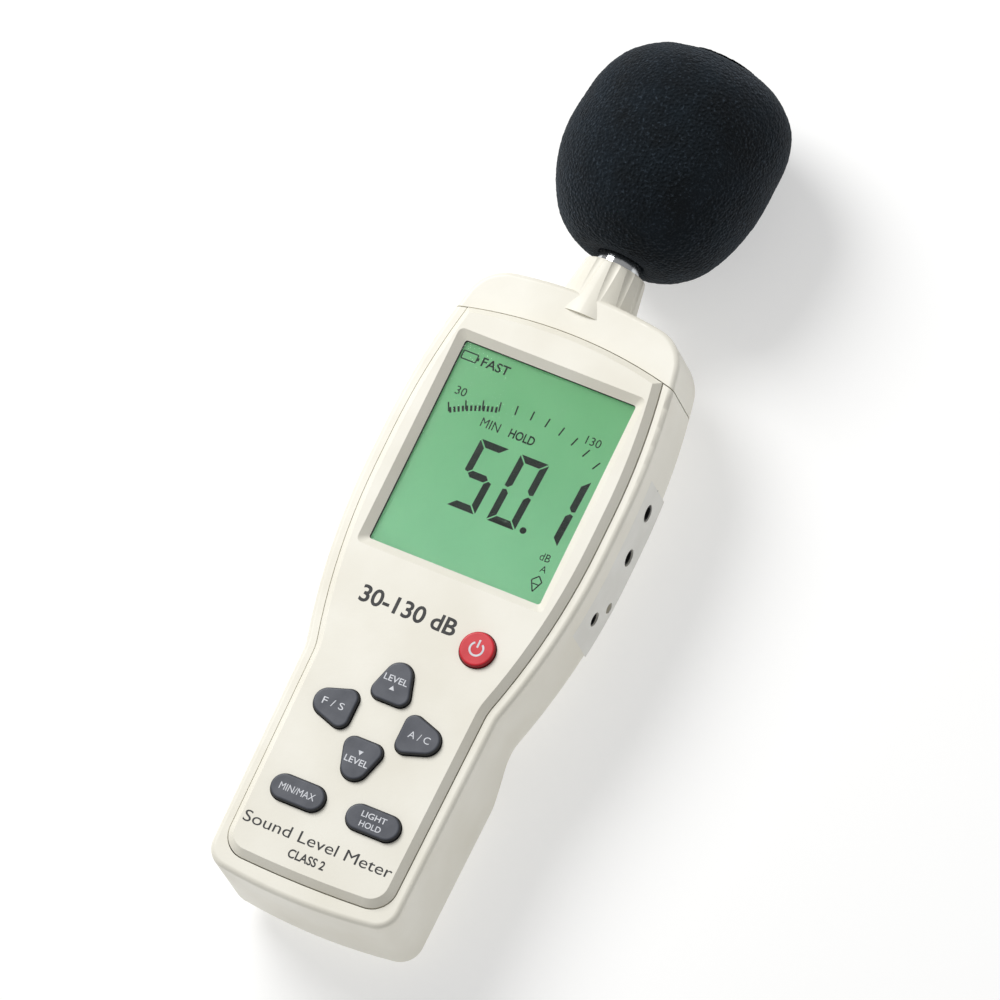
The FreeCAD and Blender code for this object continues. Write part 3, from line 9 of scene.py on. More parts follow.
import bmesh
import bpy
import numpy as np
from bpy.props import FloatProperty, FloatVectorProperty, IntProperty, PointerProperty, StringProperty
from bpy.types import Operator, Panel, PropertyGroup
from mathutils import Matrix, Vector, noise
from mathutils.bvhtree import BVHTree


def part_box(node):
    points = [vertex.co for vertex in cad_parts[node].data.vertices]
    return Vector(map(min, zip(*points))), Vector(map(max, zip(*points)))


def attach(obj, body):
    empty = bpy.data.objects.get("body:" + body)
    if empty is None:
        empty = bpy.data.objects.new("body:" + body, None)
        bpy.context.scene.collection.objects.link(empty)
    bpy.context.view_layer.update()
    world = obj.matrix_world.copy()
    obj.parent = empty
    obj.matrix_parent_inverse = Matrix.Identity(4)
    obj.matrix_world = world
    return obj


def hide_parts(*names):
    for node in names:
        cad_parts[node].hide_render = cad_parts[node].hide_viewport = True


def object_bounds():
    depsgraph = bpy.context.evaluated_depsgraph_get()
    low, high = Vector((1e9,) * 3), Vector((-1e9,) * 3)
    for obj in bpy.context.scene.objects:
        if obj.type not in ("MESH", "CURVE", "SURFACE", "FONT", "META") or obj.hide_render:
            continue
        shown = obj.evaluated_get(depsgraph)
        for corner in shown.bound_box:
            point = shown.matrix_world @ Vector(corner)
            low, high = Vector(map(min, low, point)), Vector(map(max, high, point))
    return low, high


bl_info = {
    "name": "Sound level meter",
    "version": (1, 0, 0),
    "blender": (4, 5, 0),
    "location": "3D View > Sidebar > Sound meter",
    "description": "Finishes, foam windscreen, display and print of a hand-held sound level meter",
    "category": "Object",
}

MM = 0.001

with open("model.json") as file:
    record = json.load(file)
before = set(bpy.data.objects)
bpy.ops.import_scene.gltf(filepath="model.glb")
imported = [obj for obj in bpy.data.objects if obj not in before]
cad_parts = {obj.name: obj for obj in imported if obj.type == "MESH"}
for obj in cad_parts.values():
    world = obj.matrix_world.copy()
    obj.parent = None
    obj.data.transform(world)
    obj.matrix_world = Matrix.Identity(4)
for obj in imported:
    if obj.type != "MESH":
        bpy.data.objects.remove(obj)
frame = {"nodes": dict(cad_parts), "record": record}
cad_low, cad_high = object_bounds()

# ---- Places that come from the frame ----


def span(node):
    """Lowest and highest corner of a CAD node, in millimetres."""
    low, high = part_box(node)
    return low / MM, high / MM


WINDOW_LOW, WINDOW_HIGH = span("display_window")
FACE_Z = span("front_cover")[1].z
DISPLAY_Y = (WINDOW_LOW.y + WINDOW_HIGH.y) / 2
GLASS_Z = span("lcd_panel")[1].z
TUBE_LOW, TUBE_HIGH = span("mic_tube")
MIC_Z = (TUBE_LOW.z + TUBE_HIGH.z) / 2
TUBE_RADIUS = (TUBE_HIGH.x - TUBE_LOW.x) / 2
FOAM_LOW, FOAM_HIGH = span("windscreen")
LABEL_LOW, LABEL_HIGH = span("rating_label")
DOOR_LOW, DOOR_HIGH = span("battery_door")

# Ink: its thickness, its gap to a flat surface and to a curved one, and where the search for a curved
# surface starts in front of it.
INK = 0.03
PRINT_LIFT = 0.005
PRESSED_LIFT = 0.01
CAST_FROM = 50.0

# ---- Colour and node helpers ----


def linear(hex_colour):
    """An sRGB hex colour as linear red, green and blue."""
    channels = []
    for i in (1, 3, 5):
        value = int(hex_colour[i:i + 2], 16) / 255
        channels.append(value / 12.92 if value <= 0.04045 else ((value + 0.055) / 1.055) ** 2.4)
    return tuple(channels)


def add(tree, kind, settings=None, values=None, links=None):
    """One node with its settings, the values of its open inputs, and its links."""
    made = tree.nodes.new(kind)
    for name, value in (settings or {}).items():
        setattr(made, name, value)
    for name, value in (values or {}).items():
        made.inputs[name].default_value = value
    for name, socket in (links or {}).items():
        tree.links.new(socket, made.inputs[name])
    return made


def opaque(colour):
    """A colour with its alpha channel."""
    return (colour[0], colour[1], colour[2], 1.0)


# ---- Finishes ----
# Each finish: main colour, second colour of the slow mottling, size of that mottling, roughness range,
# grain size and depth in millimetres, stretch of the grain, and constant shader settings. A finish
# with a fade goes from its main to its second colour between two distances along Y instead. Foam has
# the spacing of its pores and the colour of the painted glints of light on them, and a key has the
# colour of its sides, where painted shade darkens it as the surface turns from facing up.

FINISHES = {
    # Injection-moulded ABS from a spark-eroded tool: an even, eggshell-fine grain and a soft gloss.
    "moulded_cream_abs": dict(
        tones=("#F3F0E4", "#ECE8DA"), patch=26.0, rough=(0.36, 0.46), grain=0.55, depth=0.012,
        shader={"IOR": 1.53}),
    # Cast acrylic sheet: clear and polished, with the faintest smears.
    "clear_cast_acrylic": dict(
        tones=("#F7FBF8", "#F1F7F3"), patch=18.0, rough=(0.02, 0.06), grain=3.0, depth=0.001,
        shader={"IOR": 1.49, "Transmission Weight": 1.0}),
    # Closed-cell foam strip: black and dull.
    "black_foam_gasket": dict(
        tones=("#101214", "#1B1D20"), patch=3.0, rough=(0.85, 0.95), grain=0.6, depth=0.05),
    # Liquid-crystal glass over a green backlight: paler towards the near end, where the lamps are.
    "backlit_green_display_glass": dict(
        tones=("#88D09C", "#67B777"), patch=48.0, rough=(0.30, 0.36), grain=0.35, depth=0.001,
        fade=(-30.0, 30.0), shader={"IOR": 1.5, "Emission Strength": 0.34}),
    # Milled acrylic light guide with etched dots.
    "etched_light_guide": dict(
        tones=("#E6F2E8", "#D6E8DA"), patch=9.0, rough=(0.25, 0.4), grain=1.2, depth=0.02,
        shader={"IOR": 1.49}),
    # White ABS of the display holder and sockets' flanges.
    "moulded_white_abs": dict(
        tones=("#E6E6E2", "#DADAD4"), patch=14.0, rough=(0.4, 0.5), grain=0.4, depth=0.01),
    # Silicone with conducting layers a twentieth of a millimetre thick, drawn coarser.
    "layered_zebra_rubber": dict(
        tones=("#3B3D40", "#A9A9A6"), patch=0.4, rough=(0.6, 0.7), grain=0.4, depth=0.01,
        stretch=(1.0, 0.02, 0.02)),
    # Glass-fibre board under green solder mask: glossy, with the tracks showing through as ridges.
    "green_solder_mask_board": dict(
        tones=("#12502C", "#1C6C3C"), patch=1.6, rough=(0.25, 0.4), grain=0.9, depth=0.03,
        stretch=(1.0, 0.25, 1.0), shader={"IOR": 1.5}),
    # Moulded epoxy of chips: matt black with fine filler.
    "moulded_chip_epoxy": dict(
        tones=("#17181A", "#222326"), patch=2.0, rough=(0.55, 0.7), grain=0.2, depth=0.01),
    # Moulded silicone web under the keys.
    "moulded_silicone_web": dict(
        tones=("#46484D", "#3C3E43"), patch=8.0, rough=(0.55, 0.65), grain=0.4, depth=0.01),
    # Black glass-filled nylon of sockets.
    "moulded_black_nylon": dict(
        tones=("#141416", "#1E1E21"), patch=4.0, rough=(0.42, 0.6), grain=0.3, depth=0.015),
    # Turned brass tube, polished and chrome plated: mirror bright with fine turning lines.
    "chromed_turned_tube": dict(
        tones=("#DDDFE1", "#CDD0D3"), patch=6.0, rough=(0.08, 0.16), grain=0.5, depth=0.002,
        stretch=(0.05, 1.0, 0.05), shader={"Metallic": 1.0}),
    # Turned nickel silver of the microphone capsule.
    "turned_nickel_silver": dict(
        tones=("#B9B7B0", "#A5A39C"), patch=5.0, rough=(0.22, 0.34), grain=0.4, depth=0.004,
        stretch=(0.05, 1.0, 0.05), shader={"Metallic": 1.0}),
    # Open-cell polyurethane foam: charcoal, with pores of half a millimetre drawn a little coarser and
    # painted glints of light on them.
    "open_cell_charcoal_foam": dict(
        tones=("#080E12", "#121A20"), patch=9.0, rough=(0.9, 1.0), grain=0.8, depth=0.26, pores=0.9,
        painted_glint="#3D4751", shader={"Sheen Weight": 0.08, "Sheen Roughness": 0.5,
                                 "Sheen Tint": (0.72, 0.84, 1.0, 1.0), "Specular IOR Level": 0.2}),
    # Turned brass of the tripod insert.
    "turned_brass": dict(
        tones=("#C79A55", "#B0833F"), patch=3.0, rough=(0.25, 0.38), grain=0.3, depth=0.006,
        stretch=(0.05, 0.05, 1.0), shader={"Metallic": 1.0}),
    # Printed plastic sleeve shrunk round each cell.
    "shrunk_battery_sleeve": dict(
        tones=("#1E4A3A", "#2A5F4B"), patch=7.0, rough=(0.2, 0.32), grain=1.6, depth=0.01,
        shader={"IOR": 1.5}),
    # Nickel-plated spring wire and contact plates, drawn and slightly streaked.
    "nickel_plated_spring_wire": dict(
        tones=("#C9C6BE", "#B3B0A8"), patch=1.5, rough=(0.18, 0.3), grain=0.2, depth=0.004,
        shader={"Metallic": 1.0}),
    # Zinc-plated steel screws: satin, faintly mottled by the plating bath.
    "zinc_plated_screw_steel": dict(
        tones=("#BFC1C4", "#A6A8AE"), patch=1.2, rough=(0.28, 0.42), grain=0.3, depth=0.008,
        shader={"Metallic": 1.0}),
    # Matt polyester label film.
    "matt_polyester_label": dict(
        tones=("#EFEEE8", "#E7E6DF"), patch=12.0, rough=(0.4, 0.5), grain=0.3, depth=0.004),
    # Soft PVC sheath of the microphone lead.
    "soft_pvc_sheath": dict(
        tones=("#26272A", "#303135"), patch=3.0, rough=(0.42, 0.55), grain=0.4, depth=0.01),
    # Slotted brass rotor of the trimmer.
    "slotted_brass_rotor": dict(
        tones=("#C9A45E", "#B38D48"), patch=1.0, rough=(0.3, 0.42), grain=0.2, depth=0.006,
        shader={"Metallic": 1.0}),
    # Silicone keys: darker down the sides than on top, a painted shade set by how far the surface faces up.
    "painted_grey_silicone": dict(
        tones=("#54575F", "#4B4E56"), patch=5.0, rough=(0.42, 0.52), grain=0.35, depth=0.012,
        side="#26282D", shader={"IOR": 1.43}),
    "painted_red_silicone": dict(
        tones=("#DC2F3C", "#D02834"), patch=4.0, rough=(0.36, 0.46), grain=0.35, depth=0.012,
        side="#9E1A26", shader={"IOR": 1.43}),
    # Pad-printed inks: a skin a few hundredths of a millimetre thick, slightly uneven.
    "black_pad_print": dict(
        tones=("#0C0D0E", "#151618"), patch=1.5, rough=(0.45, 0.6), grain=0.3, depth=0.004),
    "white_pad_print": dict(
        tones=("#E4E6EA", "#D2D5DB"), patch=1.5, rough=(0.5, 0.6), grain=0.3, depth=0.004),
    # Switched-on liquid crystal: dark green where it blocks the backlight.
    "dark_liquid_crystal": dict(
        tones=("#061A13", "#0A2219"), patch=2.5, rough=(0.35, 0.45), grain=0.3, depth=0.001,
        shader={"Specular IOR Level": 0.15}),
}

SLOT_FINISH = {
    "case_abs": "moulded_cream_abs",
    "clear_window": "clear_cast_acrylic",
    "gasket_foam": "black_foam_gasket",
    "lcd_glass": "backlit_green_display_glass",
    "light_guide": "etched_light_guide",
    "white_abs": "moulded_white_abs",
    "zebra_rubber": "layered_zebra_rubber",
    "circuit_board": "green_solder_mask_board",
    "chip_epoxy": "moulded_chip_epoxy",
    "silicone_web": "moulded_silicone_web",
    "key_grey": "painted_grey_silicone",
    "key_red": "painted_red_silicone",
    "black_nylon": "moulded_black_nylon",
    "chrome_tube": "chromed_turned_tube",
    "capsule_metal": "turned_nickel_silver",
    "foam": "open_cell_charcoal_foam",
    "brass_insert": "turned_brass",
    "battery_wrap": "shrunk_battery_sleeve",
    "spring_steel": "nickel_plated_spring_wire",
    "screw_zinc": "zinc_plated_screw_steel",
    "label_film": "matt_polyester_label",
    "lead_pvc": "soft_pvc_sheath",
    "rotor_brass": "slotted_brass_rotor",
}

# How much of a fade is left to the mottling.
FADE_MOTTLE = 0.15


def make_finish(name, tones=None):
    """The node material of one finish; tones overrides its two colours."""
    spec = FINISHES[name]
    main, second = tones or [linear(tone) for tone in spec["tones"]]
    material = bpy.data.materials.new(name)
    material.use_nodes = True
    tree = material.node_tree
    shader = tree.nodes["Principled BSDF"]
    place = add(tree, "ShaderNodeTexCoord").outputs["Object"]

    mottle = add(tree, "ShaderNodeTexNoise", values={"Scale": 1 / (spec["patch"] * MM), "Detail": 4.0},
                 links={"Vector": place})
    ramp = add(tree, "ShaderNodeMapRange", {"clamp": True},
               {"From Min": 0.35, "From Max": 0.65}, {"Value": mottle.outputs["Fac"]})
    share = ramp.outputs[0]
    if "fade" in spec:
        near, far = spec["fade"]
        along = add(tree, "ShaderNodeSeparateXYZ", links={0: place}).outputs["Y"]
        fade = add(tree, "ShaderNodeMapRange", {"clamp": True},
                   {"From Min": near * MM, "From Max": far * MM, "To Max": 1 - FADE_MOTTLE},
                   {"Value": along})
        share = add(tree, "ShaderNodeMath", {"operation": "MULTIPLY_ADD"}, {1: FADE_MOTTLE},
                    {0: share, 2: fade.outputs[0]}).outputs[0]
    colour = add(tree, "ShaderNodeMix", {"data_type": "RGBA"}, {6: opaque(main), 7: opaque(second)},
                 {0: share}).outputs[2]

    stretch = add(tree, "ShaderNodeMapping", values={"Scale": spec.get("stretch", (1.0, 1.0, 1.0))},
                  links={"Vector": place}).outputs[0]
    grain = add(tree, "ShaderNodeTexNoise", values={"Scale": 1 / (spec["grain"] * MM), "Detail": 3.0,
                                                    "Roughness": 0.55}, links={"Vector": stretch})
    height = grain.outputs["Fac"]
    low_rough, high_rough = spec["rough"]
    gloss = add(tree, "ShaderNodeMapRange", {"clamp": True},
                {"From Min": 0.3, "From Max": 0.7, "To Min": low_rough, "To Max": high_rough},
                {"Value": mottle.outputs["Fac"]})
    tree.links.new(gloss.outputs[0], shader.inputs["Roughness"])

    if "pores" in spec:
        pores = add(tree, "ShaderNodeTexVoronoi", {"feature": "SMOOTH_F1"},
                    {"Scale": 1 / (spec["pores"] * MM), "Smoothness": 0.4}, {"Vector": place})
        walls = add(tree, "ShaderNodeMapRange", {"clamp": True}, {"From Min": 0.25, "From Max": 0.75},
                    {"Value": pores.outputs["Distance"]})
        height = add(tree, "ShaderNodeMath", {"operation": "ADD"},
                     links={0: height, 1: walls.outputs[0]}).outputs[0]
        # Lighter bluish flecks on the foam where the grain is high: painted glints of light.
        glints = add(tree, "ShaderNodeMapRange", {"clamp": True},
                     {"From Min": 0.56, "From Max": 0.78, "To Max": 0.75}, {"Value": grain.outputs["Fac"]})
        colour = add(tree, "ShaderNodeMix", {"data_type": "RGBA"}, {7: opaque(linear(spec["painted_glint"]))},
                     {0: glints.outputs[0], 6: colour}).outputs[2]

    # A key's sides: painted shade, darker as the surface turns away from facing up.
    if "side" in spec:
        normal = add(tree, "ShaderNodeNewGeometry").outputs["Normal"]
        upward = add(tree, "ShaderNodeSeparateXYZ", links={0: normal}).outputs["Z"]
        painted = add(tree, "ShaderNodeMapRange", {"clamp": True}, {"From Min": 0.55, "From Max": 0.95},
                      {"Value": upward})
        colour = add(tree, "ShaderNodeMix", {"data_type": "RGBA"}, {6: opaque(linear(spec["side"]))},
                     {0: painted.outputs[0], 7: colour}).outputs[2]

    bump = add(tree, "ShaderNodeBump", values={"Strength": 1.0, "Distance": spec["depth"] * MM},
               links={"Height": height})
    tree.links.new(bump.outputs[0], shader.inputs["Normal"])
    tree.links.new(colour, shader.inputs["Base Color"])
    constants = spec.get("shader", {})
    for socket, value in constants.items():
        shader.inputs[socket].default_value = value
    if "Emission Strength" in constants:
        tree.links.new(colour, shader.inputs["Emission Color"])
    return material


def finish_named(name):
    """The material of a finish, made once."""
    return bpy.data.materials.get(name) or make_finish(name)


# ---- Mesh helpers ----
# A shape is a list of points and a list of faces, in millimetres on its own flat sheet: x to the
# right, y up and z out of the sheet.


def prism(outline):
    """A closed plate of ink over a convex outline."""
    count = len(outline)
    points = [(x, y, z) for z in (0.0, INK) for x, y in outline]
    faces = [tuple(range(count - 1, -1, -1)), tuple(range(count, 2 * count))]
    for i in range(count):
        after = (i + 1) % count
        faces.append((i, after, count + after, count + i))
    return points, faces


def bar(x0, y0, x1, y1, width):
    """A straight stroke between two points."""
    run = Vector((x1 - x0, y1 - y0)).normalized() * (width / 2)
    side = Vector((-run.y, run.x))
    return prism([(x0 + side.x, y0 + side.y), (x0 - side.x, y0 - side.y),
                  (x1 - side.x, y1 - side.y), (x1 + side.x, y1 + side.y)])


def bars_round(corners, width):
    """Straight strokes along the sides of a closed outline."""
    return [bar(*near, *far, width) for near, far in zip(corners, corners[1:] + corners[:1])]


def arc_stroke(x, y, radius, width, start, end):
    """A stroke along an arc, angles in degrees, closed at both ends."""
    steps = 40
    points = []
    for i in range(steps + 1):
        turn = math.radians(start + (end - start) * i / steps)
        for reach in (radius - width / 2, radius + width / 2):
            for z in (0.0, INK):
                points.append((x + reach * math.cos(turn), y + reach * math.sin(turn), z))
    faces = [(0, 2, 3, 1), (4 * steps, 4 * steps + 1, 4 * steps + 3, 4 * steps + 2)]
    for i in range(steps):
        a = 4 * i
        b = a + 4
        faces += [(a, a + 1, b + 1, b), (a + 2, b + 2, b + 3, a + 3),
                  (a + 1, a + 3, b + 3, b + 1), (a, b, b + 2, a + 2)]
    return points, faces


def lettering(words, x, y, width, height, bold=0.0):
    """Words as closed plates, fitted to a width and a height round a point of their sheet."""
    curve = bpy.data.curves.new("lettering", "FONT")
    curve.body = words
    curve.offset = bold
    curve.extrude = 0.5
    curve.resolution_u = 4
    source = bpy.data.objects.new("lettering", curve)
    bpy.context.scene.collection.objects.link(source)
    graph = bpy.context.evaluated_depsgraph_get()
    mesh = bpy.data.meshes.new_from_object(source.evaluated_get(graph))
    raw = np.array([v.co for v in mesh.vertices], float)
    faces = [tuple(p.vertices) for p in mesh.polygons]
    bpy.data.meshes.remove(mesh)
    bpy.data.objects.remove(source)
    bpy.data.curves.remove(curve)
    low, high = raw.min(0), raw.max(0)
    wide, tall = (high - low)[:2]
    scaled = (raw - (low + high) / 2) * (width / wide, height / tall, INK)
    return [tuple(p) for p in scaled + (x, y, INK / 2)], faces


def sheet_matrix(origin, right, up):
    """Where a sheet lies: its origin in millimetres and its right and up directions."""
    right, up = Vector(right), Vector(up)
    out = right.cross(up)
    turn = Matrix((right, up, out)).transposed().to_4x4()
    return Matrix.Translation(Vector(origin) * MM) @ turn @ Matrix.Diagonal((MM, MM, MM, 1.0))


def piece(name, shapes, matrix, finish, body):
    """One finished object made of flat shapes laid on a sheet, riding on a CAD body."""
    shell = bmesh.new()
    for points, faces in shapes:
        made = [shell.verts.new(matrix @ Vector(p)) for p in points]
        for face in faces:
            shell.faces.new([made[i] for i in face])
    bmesh.ops.remove_doubles(shell, verts=shell.verts, dist=1e-7)
    bmesh.ops.recalc_face_normals(shell, faces=shell.faces)
    mesh = bpy.data.meshes.new(name)
    shell.to_mesh(mesh)
    shell.free()
    mesh.materials.append(finish_named(finish))
    made = bpy.data.objects.new(name, mesh)
    bpy.context.scene.collection.objects.link(made)
    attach(made, body)
    return made


def press_on(target, nodes, direction, sheet_at):
    """Moves each point along a direction until the print lies on the CAD surface behind it."""
    points, faces = [], []
    for node in nodes:
        mesh = frame["nodes"][node].data
        mesh.calc_loop_triangles()
        start = len(points)
        points += [v.co.copy() for v in mesh.vertices]
        faces += [tuple(start + i for i in t.vertices) for t in mesh.loop_triangles]
    tree = BVHTree.FromPolygons(points, faces)
    into = Vector(direction)
    for vertex in target.data.vertices:
        above = (vertex.co - Vector(sheet_at) * MM).dot(-into)
        hit = tree.ray_cast(vertex.co - into * CAST_FROM * MM, into)[0]
        if hit is None:
            raise RuntimeError(f"{target.name}: no surface under the print")
        vertex.co = hit - into * (above + PRESSED_LIFT * MM)


# ---- Geometry Nodes ----


def new_tree(name, inputs):
    """An empty geometry tree with named inputs; gives the tree and its group input node."""
    tree = bpy.data.node_groups.new(name, "GeometryNodeTree")
    for label, kind in inputs:
        tree.interface.new_socket(name=label, in_out="INPUT", socket_type=kind)
    tree.interface.new_socket(name="Material", in_out="INPUT", socket_type="NodeSocketMaterial")
    tree.interface.new_socket(name="Geometry", in_out="OUTPUT", socket_type="NodeSocketGeometry")
    return tree, add(tree, "NodeGroupInput").outputs


def end_tree(tree, given, geometry):
    """Realizes the instances, sets the material and links the output."""
    solid = add(tree, "GeometryNodeRealizeInstances", links={0: geometry})
    painted = add(tree, "GeometryNodeSetMaterial", links={"Geometry": solid.outputs[0],
                                                          "Material": given["Material"]})
    add(tree, "NodeGroupOutput", links={0: painted.outputs[0]})
    return tree


def arc_marks_tree():
    """Upright marks spaced evenly along an arc in the XY plane."""
    tree, given = new_tree("Marks along an arc", [
        ("Radius", "NodeSocketFloat"), ("Start Angle", "NodeSocketFloat"),
        ("Sweep", "NodeSocketFloat"), ("Count", "NodeSocketInt"),
        ("Mark Size", "NodeSocketVector"), ("Centre", "NodeSocketVector")])
    arc = add(tree, "GeometryNodeCurveArc", {"mode": "RADIUS"}, {"Resolution": 64},
              {"Radius": given["Radius"], "Start Angle": given["Start Angle"],
               "Sweep Angle": given["Sweep"]})
    spaced = add(tree, "GeometryNodeResampleCurve", links={"Curve": arc.outputs["Curve"],
                                                           "Count": given["Count"]})
    mark = add(tree, "GeometryNodeMeshCube", links={"Size": given["Mark Size"]})
    tangent = add(tree, "GeometryNodeInputTangent")
    turn = add(tree, "FunctionNodeAlignRotationToVector", {"axis": "X", "pivot_axis": "Z"},
               links={"Vector": tangent.outputs[0]})
    marks = add(tree, "GeometryNodeInstanceOnPoints",
                links={"Points": spaced.outputs[0], "Instance": mark.outputs["Mesh"],
                       "Rotation": turn.outputs[0]})
    placed = add(tree, "GeometryNodeTransform", links={"Geometry": marks.outputs[0],
                                                       "Translation": given["Centre"]})
    return end_tree(tree, given, placed.outputs[0])


def spring_row_tree():
    """Coil springs along Y, in two rows of two: one row at each end of the battery bay."""
    tree, given = new_tree("Rows of coil springs", [
        ("Coil Radius", "NodeSocketFloat"), ("Wire Radius", "NodeSocketFloat"),
        ("Turns", "NodeSocketFloat"), ("Length", "NodeSocketFloat"),
        ("First Row", "NodeSocketVector"), ("Second Row", "NodeSocketVector"),
        ("Step", "NodeSocketVector")])
    coil = add(tree, "GeometryNodeCurveSpiral", values={"Resolution": 20},
               links={"Rotations": given["Turns"], "Start Radius": given["Coil Radius"],
                      "End Radius": given["Coil Radius"], "Height": given["Length"]})
    wire = add(tree, "GeometryNodeCurvePrimitiveCircle", {"mode": "RADIUS"}, {"Resolution": 10},
               {"Radius": given["Wire Radius"]})
    swept = add(tree, "GeometryNodeCurveToMesh", values={"Fill Caps": True},
                links={"Curve": coil.outputs[0], "Profile Curve": wire.outputs[0]})
    laid = add(tree, "GeometryNodeTransform", values={"Rotation": (-math.pi / 2, 0.0, 0.0)},
               links={"Geometry": swept.outputs[0]})
    rows = []
    for row in ("First Row", "Second Row"):
        line = add(tree, "GeometryNodeMeshLine", {"mode": "OFFSET"}, {"Count": 2},
                   {"Start Location": given[row], "Offset": given["Step"]})
        rows.append(add(tree, "GeometryNodeInstanceOnPoints",
                        links={"Points": line.outputs[0], "Instance": laid.outputs[0]}).outputs[0])
    both = add(tree, "GeometryNodeJoinGeometry")
    for row in rows:
        tree.links.new(row, both.inputs[0])
    return end_tree(tree, given, both.outputs[0])


def grown(name, tree, values, finish, body):
    """A plain mesh made by a geometry tree, riding on a CAD body."""
    material = finish_named(finish)
    seed = bpy.data.objects.new(name + "_seed", bpy.data.meshes.new(name + "_seed"))
    bpy.context.scene.collection.objects.link(seed)
    modifier = seed.modifiers.new("grow", "NODES")
    modifier.node_group = tree
    for item in tree.interface.items_tree:
        if item.in_out == "INPUT":
            modifier[item.identifier] = material if item.name == "Material" else values[item.name]
    graph = bpy.context.evaluated_depsgraph_get()
    mesh = bpy.data.meshes.new_from_object(seed.evaluated_get(graph))
    mesh.name = name
    seed.modifiers.remove(modifier)
    bpy.data.objects.remove(seed)
    if not mesh.polygons:
        raise RuntimeError(f"{name}: the tree made no faces")
    made = bpy.data.objects.new(name, mesh)
    bpy.context.scene.collection.objects.link(made)
    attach(made, body)
    return made


# ---- Settings ----


def colour_property(name, description, hex_colour):
    """A colour a user can change, given by its sRGB hex value."""
    return FloatVectorProperty(name=name, description=description, subtype="COLOR", size=3,
                               min=0.0, max=1.0, default=linear(hex_colour))


def size_property(name, description, millimetres):
    """A length a user can change."""
    return FloatProperty(name=name, description=description, unit="LENGTH", default=millimetres * MM,
                         precision=5)


class StageSettings(PropertyGroup):
    """Floor, lights and camera."""

    floor_colour: colour_property("Floor colour", "Opal sheet of the lit table", "#CBCBCA")
    floor_glow: FloatProperty(name="Floor glow", description="Light that comes up through the opal sheet",
                              default=0.48, min=0.0)
    key_power: FloatProperty(name="Key light", description="Power of the large soft light", unit="POWER",
                             default=20.2, min=0.0)
    fill_power: FloatProperty(name="Fill light", description="Power of the second soft light", unit="POWER",
                              default=0.2, min=0.0)
    sky: FloatProperty(name="Sky", description="Brightness of the even light from all round", default=0.34,
                       min=0.0)
    distance: size_property("Camera distance", "From the lens to the middle of the view", 4000.0)
    lens: FloatProperty(name="Lens", description="Focal length in millimetres", default=535.7, min=10.0)


class FinishSettings(PropertyGroup):
    """Main colours of the object."""

    case_colour: colour_property("Case", "Cream ABS of the covers", "#F3F0E4")
    # The key colours below are of the tops; the sides are drawn darker as painted shade.
    key_colour: colour_property("Keys", "Painted tops of the grey keys", "#54575F")
    power_colour: colour_property("Power key", "Painted top of the power key", "#DC2F3C")
    foam_colour: colour_property("Windscreen", "Open-cell foam", "#080E12")


class WindscreenSettings(PropertyGroup):
    """Foam windscreen."""

    lean: size_property("Lean", "How far the far end leans to the right", 2.1)
    seat: size_property("Seat", "How much further out on the tube the foam sits than its CAD node", 0.7)
    pucker: size_property("Unevenness", "Depth of the slow unevenness of the cut foam", 0.22)
    cells: size_property("Cell relief", "Depth of the cells that the outline shows", 0.16)
    around: IntProperty(name="Facets around", description="Faces round the axis", default=256, min=24)
    along: IntProperty(name="Facets along", description="Faces from the near end to the far end",
                       default=130, min=16)


class SpringSettings(PropertyGroup):
    """Battery springs."""

    wire: size_property("Wire radius", "Radius of the spring wire", 0.35)
    length: size_property("Length", "Length of each pressed spring", 4.2)
    turns: FloatProperty(name="Turns", description="Turns of each spring", default=3.0, min=1.0)


class DisplaySettings(PropertyGroup):
    """What the display shows."""

    reading: StringProperty(name="Reading", description="Digits of the reading, without the point",
                            default="501")
    digit_height: size_property("Digit height", "Height of the large digits", 20.4)
    stroke: size_property("Digit stroke", "Width of the large digits' segments", 2.0)
    scale_radius: size_property("Scale radius", "Radius of the arched bar graph", 44.0)
    scale_marks: IntProperty(name="Scale marks", description="Marks along the arched scale",
                             default=11, min=2)


class PrintSettings(PropertyGroup):
    """Printed words and signs."""

    type_line: StringProperty(name="Type line", description="Words under the keys",
                              default="Sound Level Meter")
    class_line: StringProperty(name="Class line", description="Accuracy class under the type line",
                               default="CLASS 2")
    range_line: StringProperty(name="Range line", description="Words over the keys", default="30-130 dB")


# ---- Stage ----

# Directions of the view, and its aim from the display's middle along them, in millimetres.
VIEW_RIGHT = Vector((0.880, 0.428, -0.206))
VIEW_UP = Vector((-0.347, 0.875, 0.337))
AIM_SIDE = -0.30
AIM_LIFT = -8.15
# Half the floor's width in metres, and the tone of its faint clouds as a share of its colour.
FLOOR_HALF = 6.0
CLOUD_TONE = 0.985
# Diameter and place of each lamp, in metres.
KEY_LAMP = (0.9, (-0.85, 0.55, 1.15))
FILL_LAMP = (1.2, (0.55, -0.9, 1.2))


